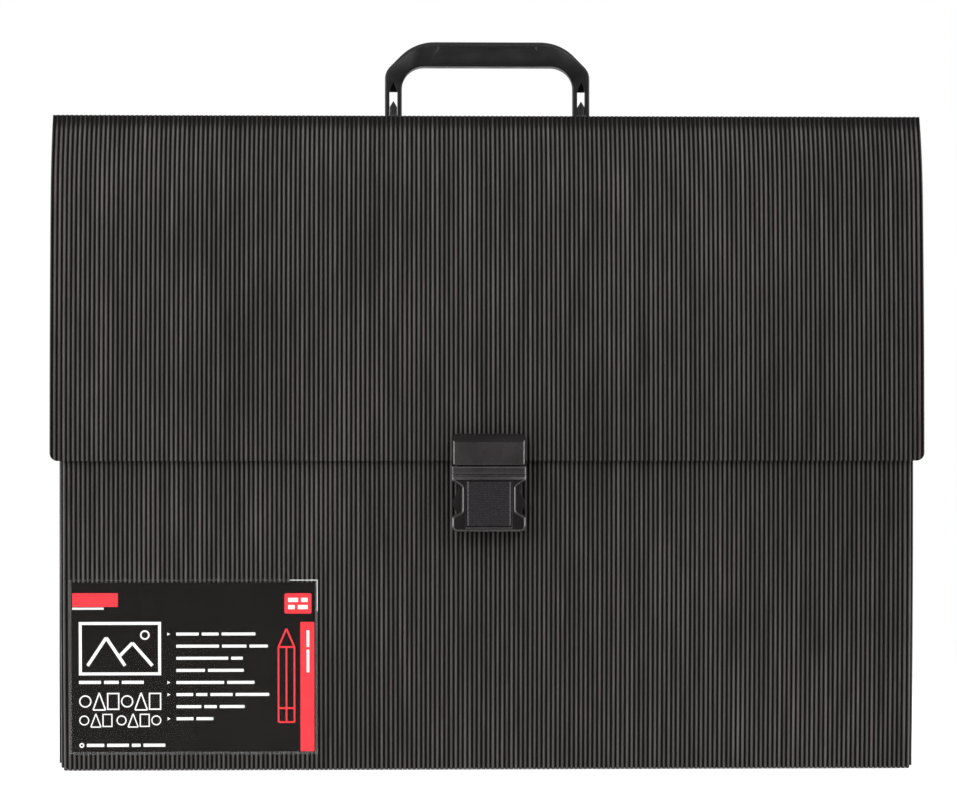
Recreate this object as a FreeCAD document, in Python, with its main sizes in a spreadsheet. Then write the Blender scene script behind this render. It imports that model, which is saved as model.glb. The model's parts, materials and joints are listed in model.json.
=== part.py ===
"""Portfolio case for A3 sheets, in millimetres.

A ribbed polypropylene case: a pocket of back, base, pleated gussets and front panel, closed by a
spine and a flap that fold on living hinges, with a sliding carry handle and a side-release buckle.
The frame has +X to the right, +Y to the back, +Z up and its origin under the middle of the base.
"""
import FreeCAD, Part
import math
import os

import Sketcher

DIMENSIONS = [
    # The ribbed sheet and its folds
    ("sheet_thickness", 1.2),
    ("crease_gap", 1.0),            # from a fold's axis to the edge of each sheet beside it
    ("hole_overrun", 1.0),          # how far a drill runs past both faces of a curved sheet
    # The shell
    ("case_width", 470.0),
    ("case_height", 354.0),
    ("base_depth", 36.0),
    ("base_width", 457.0),
    # The front of the pocket
    ("front_width", 460.0),
    ("front_height", 300.0),
    ("front_bulge", 5.0),
    ("front_corner", 4.5),
    ("side_return", 9.0),
    # The pleated gussets
    ("gusset_thickness", 0.8),
    ("gusset_inset", 1.5),          # from the side of the front panel to the gusset's outer folds
    ("pleat_depth", 14.5),
    ("gusset_front", -13.0),
    ("gusset_height", 297.0),
    # The flap
    ("flap_drop", 187.0),
    ("flap_hem_offset", -25.2),     # middle of the sheet at its hem
    ("flap_sweep_radius", 2211.0),
    ("flap_shoulder_radius", 150.7),
    ("flap_shoulder_drop", 46.0),   # from the top down to where the two sweeps meet
    ("flap_corner", 4.3),
    # The handle
    ("handle_width", 111.8),
    ("handle_rise", 41.0),
    ("grip_height", 13.4),
    ("grip_depth", 12.0),
    ("grip_bevel", 3.0),
    ("grip_inner_corner", 12.0),
    ("shoulder_centre", 29.0),
    ("shoulder_radius", 26.0),
    ("leg_width", 9.2),
    ("leg_depth", 6.0),
    ("leg_corner", 8.0),
    ("leg_slot_width", 4.6),
    ("leg_slot_top", 13.7),
    ("leg_slot_bottom", -4.4),
    ("leg_bottom", -6.6),
    ("leg_recess_rise", 5.0),
    ("leg_recess_wall", 1.0),
    ("leg_clearance", 0.4),
    # The handle's anchors under the spine
    ("plate_thickness", 1.2),
    ("seat_gap", 0.1),
    ("anchor_bar_height", 1.6),
    ("anchor_bar_width", 4.0),
    ("anchor_pad_width", 9.0),
    ("anchor_length", 22.0),
    ("anchor_tongue_depth", 4.0),
    ("anchor_tongue_setback", 0.5),
    ("anchor_tongue_shoulder", 5.8),
    ("anchor_tongue_tip", 9.0),
    ("handle_plate_length", 128.0),
    ("handle_plate_width", 24.0),
    ("handle_plate_corner", 4.5),
    ("handle_rivet_pitch", 14.8),
    # The rivets
    ("rivet_radius", 1.5),
    ("rivet_hole_radius", 1.6),
    ("rivet_head_radius", 2.8),
    ("rivet_head_height", 1.0),
    ("flat_head_height", 0.5),
    # The buckle's tongue, on the flap
    ("tongue_width", 38.3),
    ("tongue_bottom", 164.7),
    ("tongue_top", 181.6),
    ("tongue_depth", 8.0),
    ("tongue_bevel_height", 4.4),
    ("tongue_bevel_depth", 4.0),
    ("tongue_corner", 1.8),
    ("tongue_rivet_offset", 7.0),
    ("tongue_rivet_height", 174.5),
    ("tongue_plate_width", 30.0),
    ("tongue_plate_height", 12.0),
    ("tongue_plate_thickness", 0.8),
    ("guide_half_width", 3.5),
    ("guide_bottom", 152.0),
    # The prongs
    ("pivot_offset", 14.7),
    ("pivot_height", 168.0),
    ("knuckle_radius", 2.4),
    ("knuckle_clearance", 0.35),
    ("prong_back", -27.3),
    ("prong_depth", 4.7),
    ("stem_inner", 12.6),
    ("stem_outer", 16.6),
    ("pad_outer", 19.5),
    ("pad_bevel", 0.35),
    ("pad_shoulder_rise", 1.6),
    ("pad_top", 150.0),
    ("pad_crown_top", 145.5),
    ("pad_crown_bottom", 142.6),
    ("pad_foot", 139.6),
    ("prong_tip", 138.5),
    ("prong_tip_bevel", 1.05),
    # The buckle's socket, on the front panel
    ("socket_depth", 11.2),
    ("socket_top", 164.2),
    ("rim_bottom", 157.2),
    ("rim_half_width", 19.75),
    ("waist_top", 153.6),
    ("waist_bottom", 140.2),
    ("waist_half_width", 14.6),
    ("foot_top", 137.8),
    ("foot_half_width", 19.9),
    ("socket_bottom", 129.2),
    ("foot_corner", 2.5),
    ("mouth_half_width", 17.3),
    ("mouth_back", -26.9),
    ("mouth_depth", 5.5),
    ("mouth_floor", 134.6),
    ("socket_rivet_offset", 4.5),
    ("socket_rivet_height", 137.6),
    ("socket_plate_width", 26.0),
    ("socket_plate_height", 14.0),
    # The webbing over the socket
    ("strap_width", 23.3),
    ("strap_thickness", 1.0),
    ("strap_top", 156.0),
    ("strap_slot_bottom", 131.6),
    ("strap_slot_height", 1.6),
    ("strap_clearance", 0.3),
    # The label pocket
    ("label_left", -225.2),
    ("label_bottom", 8.9),
    ("label_width", 133.4),
    ("label_height", 94.3),
    ("card_thickness", 0.4),
    ("card_margin", 1.6),
    ("film_thickness", 0.3),
]
GUSSET_FOLDS = 6


class Size:
    """A length with the expression that it comes from, so that arithmetic keeps both."""

    def __init__(self, text, value):
        self.text = text
        self.value = value

    @staticmethod
    def of(number):
        return number if isinstance(number, Size) else Size(repr(float(number)), float(number))

    def join(self, other, sign, value):
        return Size("(%s %s %s)" % (self.text, sign, other.text), value)

    def __add__(self, other):
        other = Size.of(other)
        return self.join(other, "+", self.value + other.value)

    def __sub__(self, other):
        other = Size.of(other)
        return self.join(other, "-", self.value - other.value)

    def __mul__(self, other):
        other = Size.of(other)
        return self.join(other, "*", self.value * other.value)

    def __truediv__(self, other):
        other = Size.of(other)
        return self.join(other, "/", self.value / other.value)

    def __radd__(self, other):
        return Size.of(other) + self

    def __rsub__(self, other):
        return Size.of(other) - self

    def __rmul__(self, other):
        return Size.of(other) * self

    def __neg__(self):
        return Size.of(0.0) - self

    def root(self):
        return Size("sqrt(%s)" % self.text, math.sqrt(self.value))


class Arc:
    """Marks the edge that leaves a vertex as an arc; side is +1 where its centre is to the left."""

    def __init__(self, radius, side):
        self.radius = Size.of(radius)
        self.side = side


class Dims:
    """The driving dimensions, one attribute for each alias of the sheet."""


def make_sheet(doc):
    sheet = doc.addObject("Spreadsheet::Sheet", "Dims")
    dims = Dims()
    for row, (alias, value) in enumerate(DIMENSIONS, start=1):
        sheet.set("A%d" % row, alias)
        sheet.set("B%d" % row, str(value))
        sheet.setAlias("B%d" % row, alias)
        setattr(dims, alias, Size("Dims.%s" % alias, value))
    doc.recompute()
    return dims


doc = FreeCAD.newDocument("PortfolioCase")
d = make_sheet(doc)

half_sheet = d.sheet_thickness / 2

crease_radius = half_sheet + d.crease_gap

# The folds' axes, as (y, z)
spine_fold = (d.base_depth / 2 - half_sheet, d.case_height - half_sheet)
front_fold = (half_sheet - d.base_depth / 2, half_sheet)


def along(start, direction, distance):
    """The point at a distance from start in a direction, in a plane."""
    return (start[0] + direction[0] * distance, start[1] + direction[1] * distance)


def direction_to(start, end, length):
    """The direction from start to end, whose distance apart is length."""
    return ((end[0] - start[0]) / length, (end[1] - start[1]) / length)


def circle_offset(radius, rise):
    """How far a circle lies inside its tangent at a height above the point of touch."""
    return radius - (radius * radius - rise * rise).root()


# The front panel's face is one arc, bowed out at mid-height
front_bottom = front_fold[1] + d.crease_gap
front_half_height = (d.front_height - front_bottom) / 2
front_middle = front_bottom + front_half_height
front_radius = (front_half_height * front_half_height
                + d.front_bulge * d.front_bulge) / (2 * d.front_bulge)
front_crown = -(d.base_depth / 2) - d.front_bulge


def front_face(height):
    """The y of the front panel's outer face at a height."""
    return front_crown + circle_offset(front_radius, height - front_middle)


# The flap's sheet follows two sweeps that meet tangentially, and hangs straight at its hem
flap_hem = d.case_height - d.flap_drop
flap_join_height = d.case_height - d.flap_shoulder_drop
flap_join = (d.flap_hem_offset + circle_offset(d.flap_sweep_radius, flap_join_height - flap_hem),
             flap_join_height)
sweep_centre = (d.flap_hem_offset + d.flap_sweep_radius, flap_hem)
join_inward = direction_to(flap_join, sweep_centre, d.flap_sweep_radius)
shoulder_centre = along(flap_join, join_inward, d.flap_shoulder_radius)
shoulder_rise = spine_fold[1] - shoulder_centre[1]
flap_fold = (shoulder_centre[0] - (d.flap_shoulder_radius * d.flap_shoulder_radius
                                   - shoulder_rise * shoulder_rise).root(), spine_fold[1])
fold_inward = direction_to(flap_fold, shoulder_centre, d.flap_shoulder_radius)
fold_downward = (fold_inward[1], -fold_inward[0])

spine_front = flap_fold[0] + d.crease_gap
spine_back = spine_fold[0] - d.crease_gap
spine_under = d.case_height - d.sheet_thickness
handle_y = (spine_front + spine_back) / 2
leg_x = (d.handle_width - d.leg_width) / 2
flap_face = d.flap_hem_offset - half_sheet
flap_inside = d.flap_hem_offset + half_sheet


def new_body(label):
    body = doc.addObject("PartDesign::Body", label)
    body.Label = label
    body.Placement = FreeCAD.Placement()
    return body


def new_sketch(body, plane, at):
    """A sketch on one of the body's own origin planes, moved along that plane's normal."""
    sketch = body.newObject("Sketcher::SketchObject", body.Name + "_sketch")
    support = [item for item in body.Origin.OriginFeatures if item.Role == plane][0]
    sketch.AttachmentSupport = (support, [""])
    sketch.MapMode = "FlatFace"
    sketch.setExpression("AttachmentOffset.Base.z", Size.of(at).text)
    return sketch


def bind_constraint(sketch, kind, geometry, position, size):
    size = Size.of(size)
    if position is None:
        index = sketch.addConstraint(Sketcher.Constraint(kind, geometry, size.value))
    else:
        index = sketch.addConstraint(Sketcher.Constraint(kind, geometry, position, size.value))
    sketch.setExpression("Constraints[%d]" % index, size.text)


def vector(point):
    return FreeCAD.Vector(Size.of(point[0]).value, Size.of(point[1]).value, 0)


def arc_edge(start, end, arc):
    """The minor arc between two points with the centre on the stated side of their chord."""
    chord = end - start
    half = chord.Length / 2
    left = FreeCAD.Vector(-chord.y, chord.x, 0).normalize()
    reach = math.sqrt(max(arc.radius.value ** 2 - half ** 2, 0.0))
    centre = (start + end) * 0.5 + left * (reach * arc.side)
    first, last = (start, end) if arc.side > 0 else (end, start)
    angles = [math.atan2(p.y - centre.y, p.x - centre.x) for p in (first, last)]
    circle = Part.Circle(centre, FreeCAD.Vector(0, 0, 1), arc.radius.value)
    return Part.ArcOfCircle(circle, angles[0], angles[1])


def draw_outline(sketch, vertices):
    """A closed outline of lines and arcs, with every vertex and radius bound to the sheet."""
    points = [vector(vertex) for vertex in vertices]
    tails = []
    heads = []
    for index, vertex in enumerate(vertices):
        start, end = points[index], points[(index + 1) % len(points)]
        arc = vertex[2] if len(vertex) > 2 else None
        shape = arc_edge(start, end, arc) if arc else Part.LineSegment(start, end)
        edge = sketch.addGeometry(shape)
        backwards = arc is not None and arc.side < 0
        tails.append((edge, 2 if backwards else 1))
        heads.append((edge, 1 if backwards else 2))
    for index, vertex in enumerate(vertices):
        following = tails[(index + 1) % len(tails)]
        sketch.addConstraint(Sketcher.Constraint("Coincident", *heads[index], *following))
        bind_constraint(sketch, "DistanceX", *tails[index], vertex[0])
        bind_constraint(sketch, "DistanceY", *tails[index], vertex[1])
        if len(vertex) > 2:
            bind_constraint(sketch, "Radius", tails[index][0], None, vertex[2].radius)


def draw_circle(sketch, centre, radius):
    radius = Size.of(radius)
    circle = Part.Circle(vector(centre), FreeCAD.Vector(0, 0, 1), radius.value)
    edge = sketch.addGeometry(circle)
    bind_constraint(sketch, "DistanceX", edge, 3, centre[0])
    bind_constraint(sketch, "DistanceY", edge, 3, centre[1])
    bind_constraint(sketch, "Radius", edge, None, radius)


def extrude(body, kind, sketch, depth, symmetric):
    """Pads or pockets a sketch along its plane's normal, or evenly to both sides of it."""
    before = body.Shape.Volume if body.Tip else 0.0
    feature = body.newObject(kind, body.Name + "_" + kind.split("::")[1].lower())
    feature.Profile = sketch
    feature.SideType = "Symmetric" if symmetric else "One side"
    feature.Reversed = kind == "PartDesign::Pocket" and not symmetric
    feature.setExpression("Length", Size.of(depth).text)
    doc.recompute()
    if abs(feature.Shape.Volume - before) < 1e-6:
        raise RuntimeError("%s changed nothing in %s" % (feature.Name, body.Label))
    return feature


def pad(body, plane, at, depth, vertices, symmetric=False):
    sketch = new_sketch(body, plane, at)
    draw_outline(sketch, vertices)
    return extrude(body, "PartDesign::Pad", sketch, depth, symmetric)


def pocket(body, plane, at, depth, vertices, symmetric=False):
    sketch = new_sketch(body, plane, at)
    draw_outline(sketch, vertices)
    return extrude(body, "PartDesign::Pocket", sketch, depth, symmetric)


def bore(body, plane, at, depth, centres, radius):
    sketch = new_sketch(body, plane, at)
    for centre in centres:
        draw_circle(sketch, centre, radius)
    return extrude(body, "PartDesign::Pocket", sketch, depth, False)


def rectangle(left, bottom, right, top):
    return [(left, bottom), (right, bottom), (right, top), (left, top)]


def box_about(centre_x, centre_y, width, height):
    return rectangle(centre_x - width / 2, centre_y - height / 2,
                     centre_x + width / 2, centre_y + height / 2)


def dress(body, kind, size, wanted):
    """Fillets or chamfers the edges of the body's tip that a test picks out."""
    base = body.Tip
    names = ["Edge%d" % (number + 1) for number, edge in enumerate(base.Shape.Edges) if wanted(edge)]
    if not names:
        raise RuntimeError("no edge to dress on %s" % body.Label)
    feature = body.newObject(kind, body.Name + "_" + kind.split("::")[1].lower())
    feature.Base = (base, names)
    prop = "Radius" if kind == "PartDesign::Fillet" else "Size"
    feature.setExpression(prop, Size.of(size).text)
    doc.recompute()
    return feature


def fillet(body, size, wanted):
    return dress(body, "PartDesign::Fillet", size, wanted)


def near(value, target, slack=0.01):
    return abs(value - Size.of(target).value) < slack


def runs_along(edge, axis):
    """Whether an edge is straight and parallel to the axis x, y or z."""
    box = edge.BoundBox
    lengths = {"x": box.XLength, "y": box.YLength, "z": box.ZLength}
    return lengths[axis] > 1e-3 and sum(lengths.values()) - lengths[axis] < 1e-3


def back_panel():
    body = new_body("back_panel")
    pad(body, "YZ_Plane", 0, d.case_width,
        rectangle(spine_fold[0] - half_sheet, 0, d.base_depth / 2, spine_fold[1] - d.crease_gap), True)
    return body


def base_panel():
    body = new_body("base_panel")
    pad(body, "YZ_Plane", 0, d.base_width,
        rectangle(front_fold[0] + d.crease_gap, 0, spine_fold[0] - half_sheet, d.sheet_thickness), True)
    return body


def gusset(label, side):
    """One pleated side wall: three inward folds, closed at both ends."""
    body = new_body(label)
    outer = d.front_width / 2 - d.gusset_inset
    back = spine_fold[0] - half_sheet
    pitch = (back - d.gusset_front) / GUSSET_FOLDS
    slant = (d.pleat_depth * d.pleat_depth + pitch * pitch).root()
    across = d.gusset_thickness * slant / pitch
    outline = []
    for step in range(GUSSET_FOLDS + 1):
        inset = d.pleat_depth if step % 2 else Size.of(0.0)
        outline.append((side * (outer - inset), d.gusset_front + pitch * step))
    for step in reversed(range(GUSSET_FOLDS + 1)):
        inset = d.pleat_depth if step % 2 else Size.of(0.0)
        outline.append((side * (outer - inset - across), d.gusset_front + pitch * step))
    pad(body, "XY_Plane", d.sheet_thickness, d.gusset_height, outline)
    return body


def rivet_holes(body, plane, at, depth, centres):
    bore(body, plane, at, depth, centres, d.rivet_hole_radius)


def socket_rivet_places():
    return [(side * d.socket_rivet_offset, d.socket_rivet_height) for side in (-1, 1)]


def tongue_rivet_places():
    return [(side * d.tongue_rivet_offset, d.tongue_rivet_height) for side in (-1, 1)]


def handle_rivet_places():
    reach = d.handle_rivet_pitch / 2
    return [(side * leg_x, handle_y + end * reach) for side in (-1, 1) for end in (-1, 1)]


def front_panel():
    """The bowed front with its two sides turned back."""
    body = new_body("front_panel")
    edge = -(d.base_depth / 2)
    top = d.front_height
    outer = Arc(front_radius, 1)
    inner = Arc(front_radius - d.sheet_thickness, -1)
    pad(body, "YZ_Plane", 0, d.front_width,
        [(edge, top, outer), (edge, front_bottom), (edge + d.side_return, front_bottom),
         (edge + d.side_return, top)], True)
    inside = edge + d.sheet_thickness
    pocket(body, "YZ_Plane", 0, d.front_width - d.sheet_thickness * 2,
           [(inside, top, Arc(front_radius, 1)), (inside, front_bottom),
            (edge + d.side_return, front_bottom), (edge + d.side_return, top)], True)
    half = d.front_width / 2

    def upright_at(half_width):
        """Picks the two long edges that stand where the face meets the sides."""
        return lambda e: (near(abs(e.BoundBox.XMin), half_width) and near(abs(e.BoundBox.XMax), half_width)
                          and e.BoundBox.ZLength > front_half_height.value
                          and e.BoundBox.YMin < edge.value - 1)

    fillet(body, d.front_corner, upright_at(half))
    fillet(body, d.front_corner - d.sheet_thickness, upright_at(half - d.sheet_thickness))
    rivet_holes(body, "XZ_Plane", -(front_crown + d.sheet_thickness + d.hole_overrun),
                d.sheet_thickness + d.hole_overrun * 2, socket_rivet_places())
    return body


def crease(label, width, outline):
    body = new_body(label)
    pad(body, "YZ_Plane", 0, width, outline, True)
    return body


def front_crease():
    """The living hinge between the base and the front panel."""
    edge = -(d.base_depth / 2)
    start = front_fold[0] + d.crease_gap
    return crease("front_crease", d.front_width - d.front_corner * 2, [
        (edge, front_bottom, Arc(crease_radius, 1)), (start, 0), (start, d.sheet_thickness),
        (edge + d.sheet_thickness, d.sheet_thickness), (edge + d.sheet_thickness, front_bottom)])


def spine_crease():
    """The living hinge between the back panel and the spine."""
    back = d.base_depth / 2
    top = spine_fold[1] - d.crease_gap
    inner = back - d.sheet_thickness
    return crease("spine_crease", d.case_width, [
        (back, top, Arc(crease_radius, 1)), (spine_back, d.case_height), (spine_back, spine_under),
        (inner, spine_under), (inner, top)])


def flap_edge(offset):
    """A corner of the flap's top edge, offset from the middle of its sheet."""
    start = along(flap_fold, fold_downward, d.crease_gap)
    return along(start, fold_inward, -offset)


def flap_crease():
    """The living hinge between the spine and the flap."""
    outer = flap_edge(half_sheet)
    inner = flap_edge(-half_sheet)
    return crease("flap_crease", d.case_width, [
        (spine_front, d.case_height, Arc(d.crease_gap * 2, 1)), outer, inner, (spine_front, spine_under)])


def leg_opening(side):
    return box_about(side * leg_x, handle_y, d.leg_width + d.leg_clearance * 2,
                     d.leg_depth + d.leg_clearance * 2)


def spine_panel():
    body = new_body("spine_panel")
    pad(body, "YZ_Plane", 0, d.case_width,
        rectangle(spine_front, spine_under, spine_back, d.case_height), True)
    for side in (-1, 1):
        pocket(body, "XY_Plane", spine_under, d.sheet_thickness, leg_opening(side))
    rivet_holes(body, "XY_Plane", spine_under, d.sheet_thickness, handle_rivet_places())
    return body


def handle_backing_plate():
    """The stiffener under the spine that the carry load goes into."""
    body = new_body("handle_backing_plate")
    low = spine_under - d.plate_thickness
    pad(body, "XY_Plane", low, d.plate_thickness,
        box_about(Size.of(0.0), handle_y, d.handle_plate_length, d.handle_plate_width))
    for side in (-1, 1):
        pocket(body, "XY_Plane", low, d.plate_thickness, leg_opening(side))
    rivet_holes(body, "XY_Plane", low, d.plate_thickness, handle_rivet_places())
    fillet(body, d.handle_plate_corner,
           lambda e: runs_along(e, "z") and near(abs(e.BoundBox.XMin), d.handle_plate_length / 2))
    return body


def handle_anchor(label, side):
    """The bar that a leg of the handle hangs on, with the pointed tongue that fills the leg's slot."""
    body = new_body(label)
    top = spine_under - d.plate_thickness - d.seat_gap
    low = top - d.anchor_bar_height
    centre = side * leg_x
    reach = d.anchor_length / 2
    inner = d.leg_depth / 2 + d.leg_clearance * 2
    bar = d.anchor_bar_width / 2
    wide = d.anchor_pad_width / 2
    pad(body, "XY_Plane", low, d.anchor_bar_height, [
        (centre - wide, handle_y - reach), (centre + wide, handle_y - reach),
        (centre + wide, handle_y - inner), (centre + bar, handle_y - inner),
        (centre + bar, handle_y + inner), (centre + wide, handle_y + inner),
        (centre + wide, handle_y + reach), (centre - wide, handle_y + reach),
        (centre - wide, handle_y + inner), (centre - bar, handle_y + inner),
        (centre - bar, handle_y - inner), (centre - wide, handle_y - inner)])
    tongue_front = handle_y - d.leg_depth / 2 + d.anchor_tongue_setback
    shoulder = d.case_height + d.anchor_tongue_shoulder
    pad(body, "XZ_Plane", -(tongue_front + d.anchor_tongue_depth), d.anchor_tongue_depth, [
        (centre - bar, low), (centre + bar, low), (centre + bar, shoulder),
        (centre, d.case_height + d.anchor_tongue_tip), (centre - bar, shoulder)])
    rivet_holes(body, "XY_Plane", low, d.anchor_bar_height,
                [place for place in handle_rivet_places() if place[0].value * side > 0])
    return body


def handle():
    """The carry handle: a deep grip on two thin slotted legs, moulded in one."""
    body = new_body("handle")
    top = d.case_height + d.handle_rise
    under_grip = top - d.grip_height
    half = d.handle_width / 2
    inner = half - d.leg_width
    bottom = d.case_height + d.leg_bottom
    reach = d.shoulder_radius / math.sqrt(2)
    bend = (d.shoulder_centre + reach, top - d.shoulder_radius + reach)
    corner_top = bend[1] - (half - bend[0])
    arch = [(-d.shoulder_centre, top, Arc(d.shoulder_radius, 1)), (-bend[0], bend[1]), (-half, corner_top),
            (-half, bottom), (-inner, bottom),
            (-inner, under_grip - d.grip_inner_corner, Arc(d.grip_inner_corner, -1)),
            (-(inner - d.grip_inner_corner), under_grip),
            (inner - d.grip_inner_corner, under_grip, Arc(d.grip_inner_corner, -1)),
            (inner, under_grip - d.grip_inner_corner), (inner, bottom), (half, bottom),
            (half, corner_top), (bend[0], bend[1], Arc(d.shoulder_radius, 1)), (d.shoulder_centre, top)]
    pad(body, "XZ_Plane", -handle_y, d.leg_depth, arch, True)
    grip_half = inner - d.grip_inner_corner / 2
    low = under_grip + d.grip_bevel / 4
    grip_side = top - circle_offset(d.shoulder_radius, grip_half - d.shoulder_centre)
    pad(body, "XZ_Plane", -handle_y, d.grip_depth, [
        (-d.shoulder_centre, top, Arc(d.shoulder_radius, 1)), (-grip_half, grip_side),
        (-grip_half, low), (grip_half, low),
        (grip_half, grip_side, Arc(d.shoulder_radius, 1)), (d.shoulder_centre, top)], True)
    slot = d.leg_slot_width / 2
    slot_top = d.case_height + d.leg_slot_top
    recess_depth = d.leg_depth - d.leg_recess_wall
    for side in (-1, 1):
        centre = side * leg_x
        pocket(body, "XZ_Plane", -handle_y, d.leg_depth,
               rectangle(centre - slot, d.case_height + d.leg_slot_bottom, centre + slot, slot_top), True)
        pocket(body, "XZ_Plane", -(handle_y - d.leg_depth / 2 + recess_depth), recess_depth,
               [(centre - slot, slot_top), (centre + slot, slot_top), (centre, slot_top + d.leg_recess_rise)])
    fillet(body, d.leg_corner, lambda e: runs_along(e, "y") and near(e.BoundBox.ZMin, corner_top))
    deep = handle_y.value - d.grip_depth.value / 2
    back = handle_y.value + d.grip_depth.value / 2
    dress(body, "PartDesign::Chamfer", d.grip_bevel,
          lambda e: e.BoundBox.ZMin > low.value + 0.1 and e.BoundBox.XLength > 1
          and e.BoundBox.YLength < 1e-3 and (near(e.BoundBox.YMin, deep) or near(e.BoundBox.YMin, back)))
    return body


def rivets(label, plane, centres, levels):
    """A group of like rivets, each a stack of discs: levels holds (start, height, radius)."""
    shapes = []
    for level, (start, height, radius) in enumerate(levels):
        for number, centre in enumerate(centres):
            disc = doc.addObject("Part::Cylinder", "%s_disc_%d_%d" % (label, level, number))
            bind_disc(disc, plane, centre, start, height, radius)
            shapes.append(disc)
    group = doc.addObject("Part::MultiFuse", label)
    group.Label = label
    group.Shapes = shapes
    group.Placement = FreeCAD.Placement()
    return group


def bind_disc(disc, plane, centre, start, height, radius):
    """Stands a cylinder along +Z on a plane of constant z, or along -Y from a plane of constant y."""
    disc.setExpression("Radius", Size.of(radius).text)
    disc.setExpression("Height", Size.of(height).text)
    disc.setExpression("Placement.Base.x", Size.of(centre[0]).text)
    if plane == "XY_Plane":
        disc.setExpression("Placement.Base.y", Size.of(centre[1]).text)
        disc.setExpression("Placement.Base.z", Size.of(start).text)
    else:
        disc.Placement = FreeCAD.Placement(FreeCAD.Vector(), FreeCAD.Rotation(FreeCAD.Vector(1, 0, 0), 90))
        disc.setExpression("Placement.Base.y", Size.of(start).text)
        disc.setExpression("Placement.Base.z", Size.of(centre[1]).text)


def handle_rivets():
    tail = spine_under - d.plate_thickness - d.seat_gap - d.anchor_bar_height - d.rivet_head_height
    grip = d.case_height - tail
    return rivets("handle_rivets", "XY_Plane", handle_rivet_places(), [
        (tail, grip + d.rivet_head_height, d.rivet_radius),
        (tail, d.rivet_head_height, d.rivet_head_radius),
        (d.case_height, d.rivet_head_height, d.rivet_head_radius)])


def flap_panel():
    """The flap: a sheet swept out over the front and down to a straight hem with rounded corners."""
    body = new_body("flap_panel")
    outward = (-join_inward[0], -join_inward[1])
    outer = [flap_edge(half_sheet), along(flap_join, outward, half_sheet), (flap_face, flap_hem)]
    inner = [flap_edge(-half_sheet), along(flap_join, outward, -half_sheet), (flap_inside, flap_hem)]
    shoulder, sweep = d.flap_shoulder_radius, d.flap_sweep_radius
    pad(body, "YZ_Plane", 0, d.case_width, [
        (*outer[0], Arc(shoulder + half_sheet, 1)), (*outer[1], Arc(sweep + half_sheet, 1)),
        outer[2], (*inner[2], Arc(sweep - half_sheet, -1)),
        (*inner[1], Arc(shoulder - half_sheet, -1)), inner[0]], True)
    fillet(body, d.flap_corner, lambda e: runs_along(e, "y") and near(e.BoundBox.ZMin, flap_hem))
    rivet_holes(body, "XZ_Plane", -(flap_inside + d.hole_overrun),
                d.sheet_thickness + d.hole_overrun * 2, tongue_rivet_places())
    return body


def buckle_tongue():
    """The male half's shell: bevelled along its top, hollow where the prongs pivot, with a guide."""
    body = new_body("buckle_tongue")
    half = d.tongue_width / 2
    face = -flap_face
    pad(body, "XZ_Plane", face, d.tongue_depth, rectangle(-half, d.tongue_bottom, half, d.tongue_top))
    pocket(body, "YZ_Plane", 0, d.tongue_width, [
        (flap_face - d.tongue_depth, d.tongue_top - d.tongue_bevel_height),
        (flap_face - d.tongue_depth + d.tongue_bevel_depth, d.tongue_top),
        (flap_face - d.tongue_depth, d.tongue_top)], True)
    fillet(body, d.tongue_corner, lambda e: near(e.BoundBox.ZMax, d.tongue_top) and e.BoundBox.XLength < 1e-3
           and e.BoundBox.YLength > 1)
    recess = d.pivot_height + d.knuckle_radius + d.knuckle_clearance
    wide = d.knuckle_radius + d.knuckle_clearance
    for side in (-1, 1):
        centre = side * d.pivot_offset
        pocket(body, "XZ_Plane", -d.prong_back - d.knuckle_clearance, d.prong_depth + d.knuckle_clearance * 2,
               rectangle(centre - wide, d.tongue_bottom, centre + wide, recess))
    pad(body, "XZ_Plane", -d.prong_back, d.prong_depth,
        rectangle(-d.guide_half_width, d.guide_bottom, d.guide_half_width,
                  d.tongue_bottom + d.knuckle_clearance))
    rivet_holes(body, "XZ_Plane", face, d.tongue_depth / 2, tongue_rivet_places())
    return body


def tongue_backing_plate():
    body = new_body("tongue_backing_plate")
    at = -flap_inside - d.seat_gap - d.tongue_plate_thickness
    pad(body, "XZ_Plane", at, d.tongue_plate_thickness,
        box_about(Size.of(0.0), d.tongue_rivet_height, d.tongue_plate_width, d.tongue_plate_height))
    rivet_holes(body, "XZ_Plane", at, d.tongue_plate_thickness, tongue_rivet_places())
    return body


def tongue_rivets():
    """Blind studs in the tongue, headed over behind the flap's backing plate."""
    start = flap_inside + d.seat_gap + d.tongue_plate_thickness + d.flat_head_height
    shank = start - flap_face + d.tongue_depth / 2 - d.seat_gap
    return rivets("tongue_rivets", "XZ_Plane", tongue_rivet_places(), [
        (start, shank, d.rivet_radius), (start, d.flat_head_height, d.rivet_head_radius)])


def prong(label, side):
    """A sprung leg of the buckle: a round knuckle, a straight stem and a press pad with a hooked tip."""
    body = new_body(label)
    bottom = d.pivot_height
    outline = [(d.stem_inner, bottom), (d.stem_inner, d.pad_crown_bottom),
               (d.stem_inner + d.prong_tip_bevel, d.prong_tip),
               (d.stem_outer - d.prong_tip_bevel, d.prong_tip), (d.mouth_half_width, d.pad_foot),
               (d.pad_outer - d.pad_bevel, d.pad_crown_bottom), (d.pad_outer, d.pad_crown_top),
               (d.stem_outer + d.pad_bevel, d.pad_top), (d.stem_outer, d.pad_top + d.pad_shoulder_rise),
               (d.stem_outer, bottom)]
    pad(body, "XZ_Plane", -d.prong_back, d.prong_depth, [(side * x, z) for x, z in outline])
    sketch = new_sketch(body, "XZ_Plane", -d.prong_back)
    draw_circle(sketch, (side * d.pivot_offset, d.pivot_height), d.knuckle_radius)
    extrude(body, "PartDesign::Pad", sketch, d.prong_depth, False)
    return body


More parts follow.
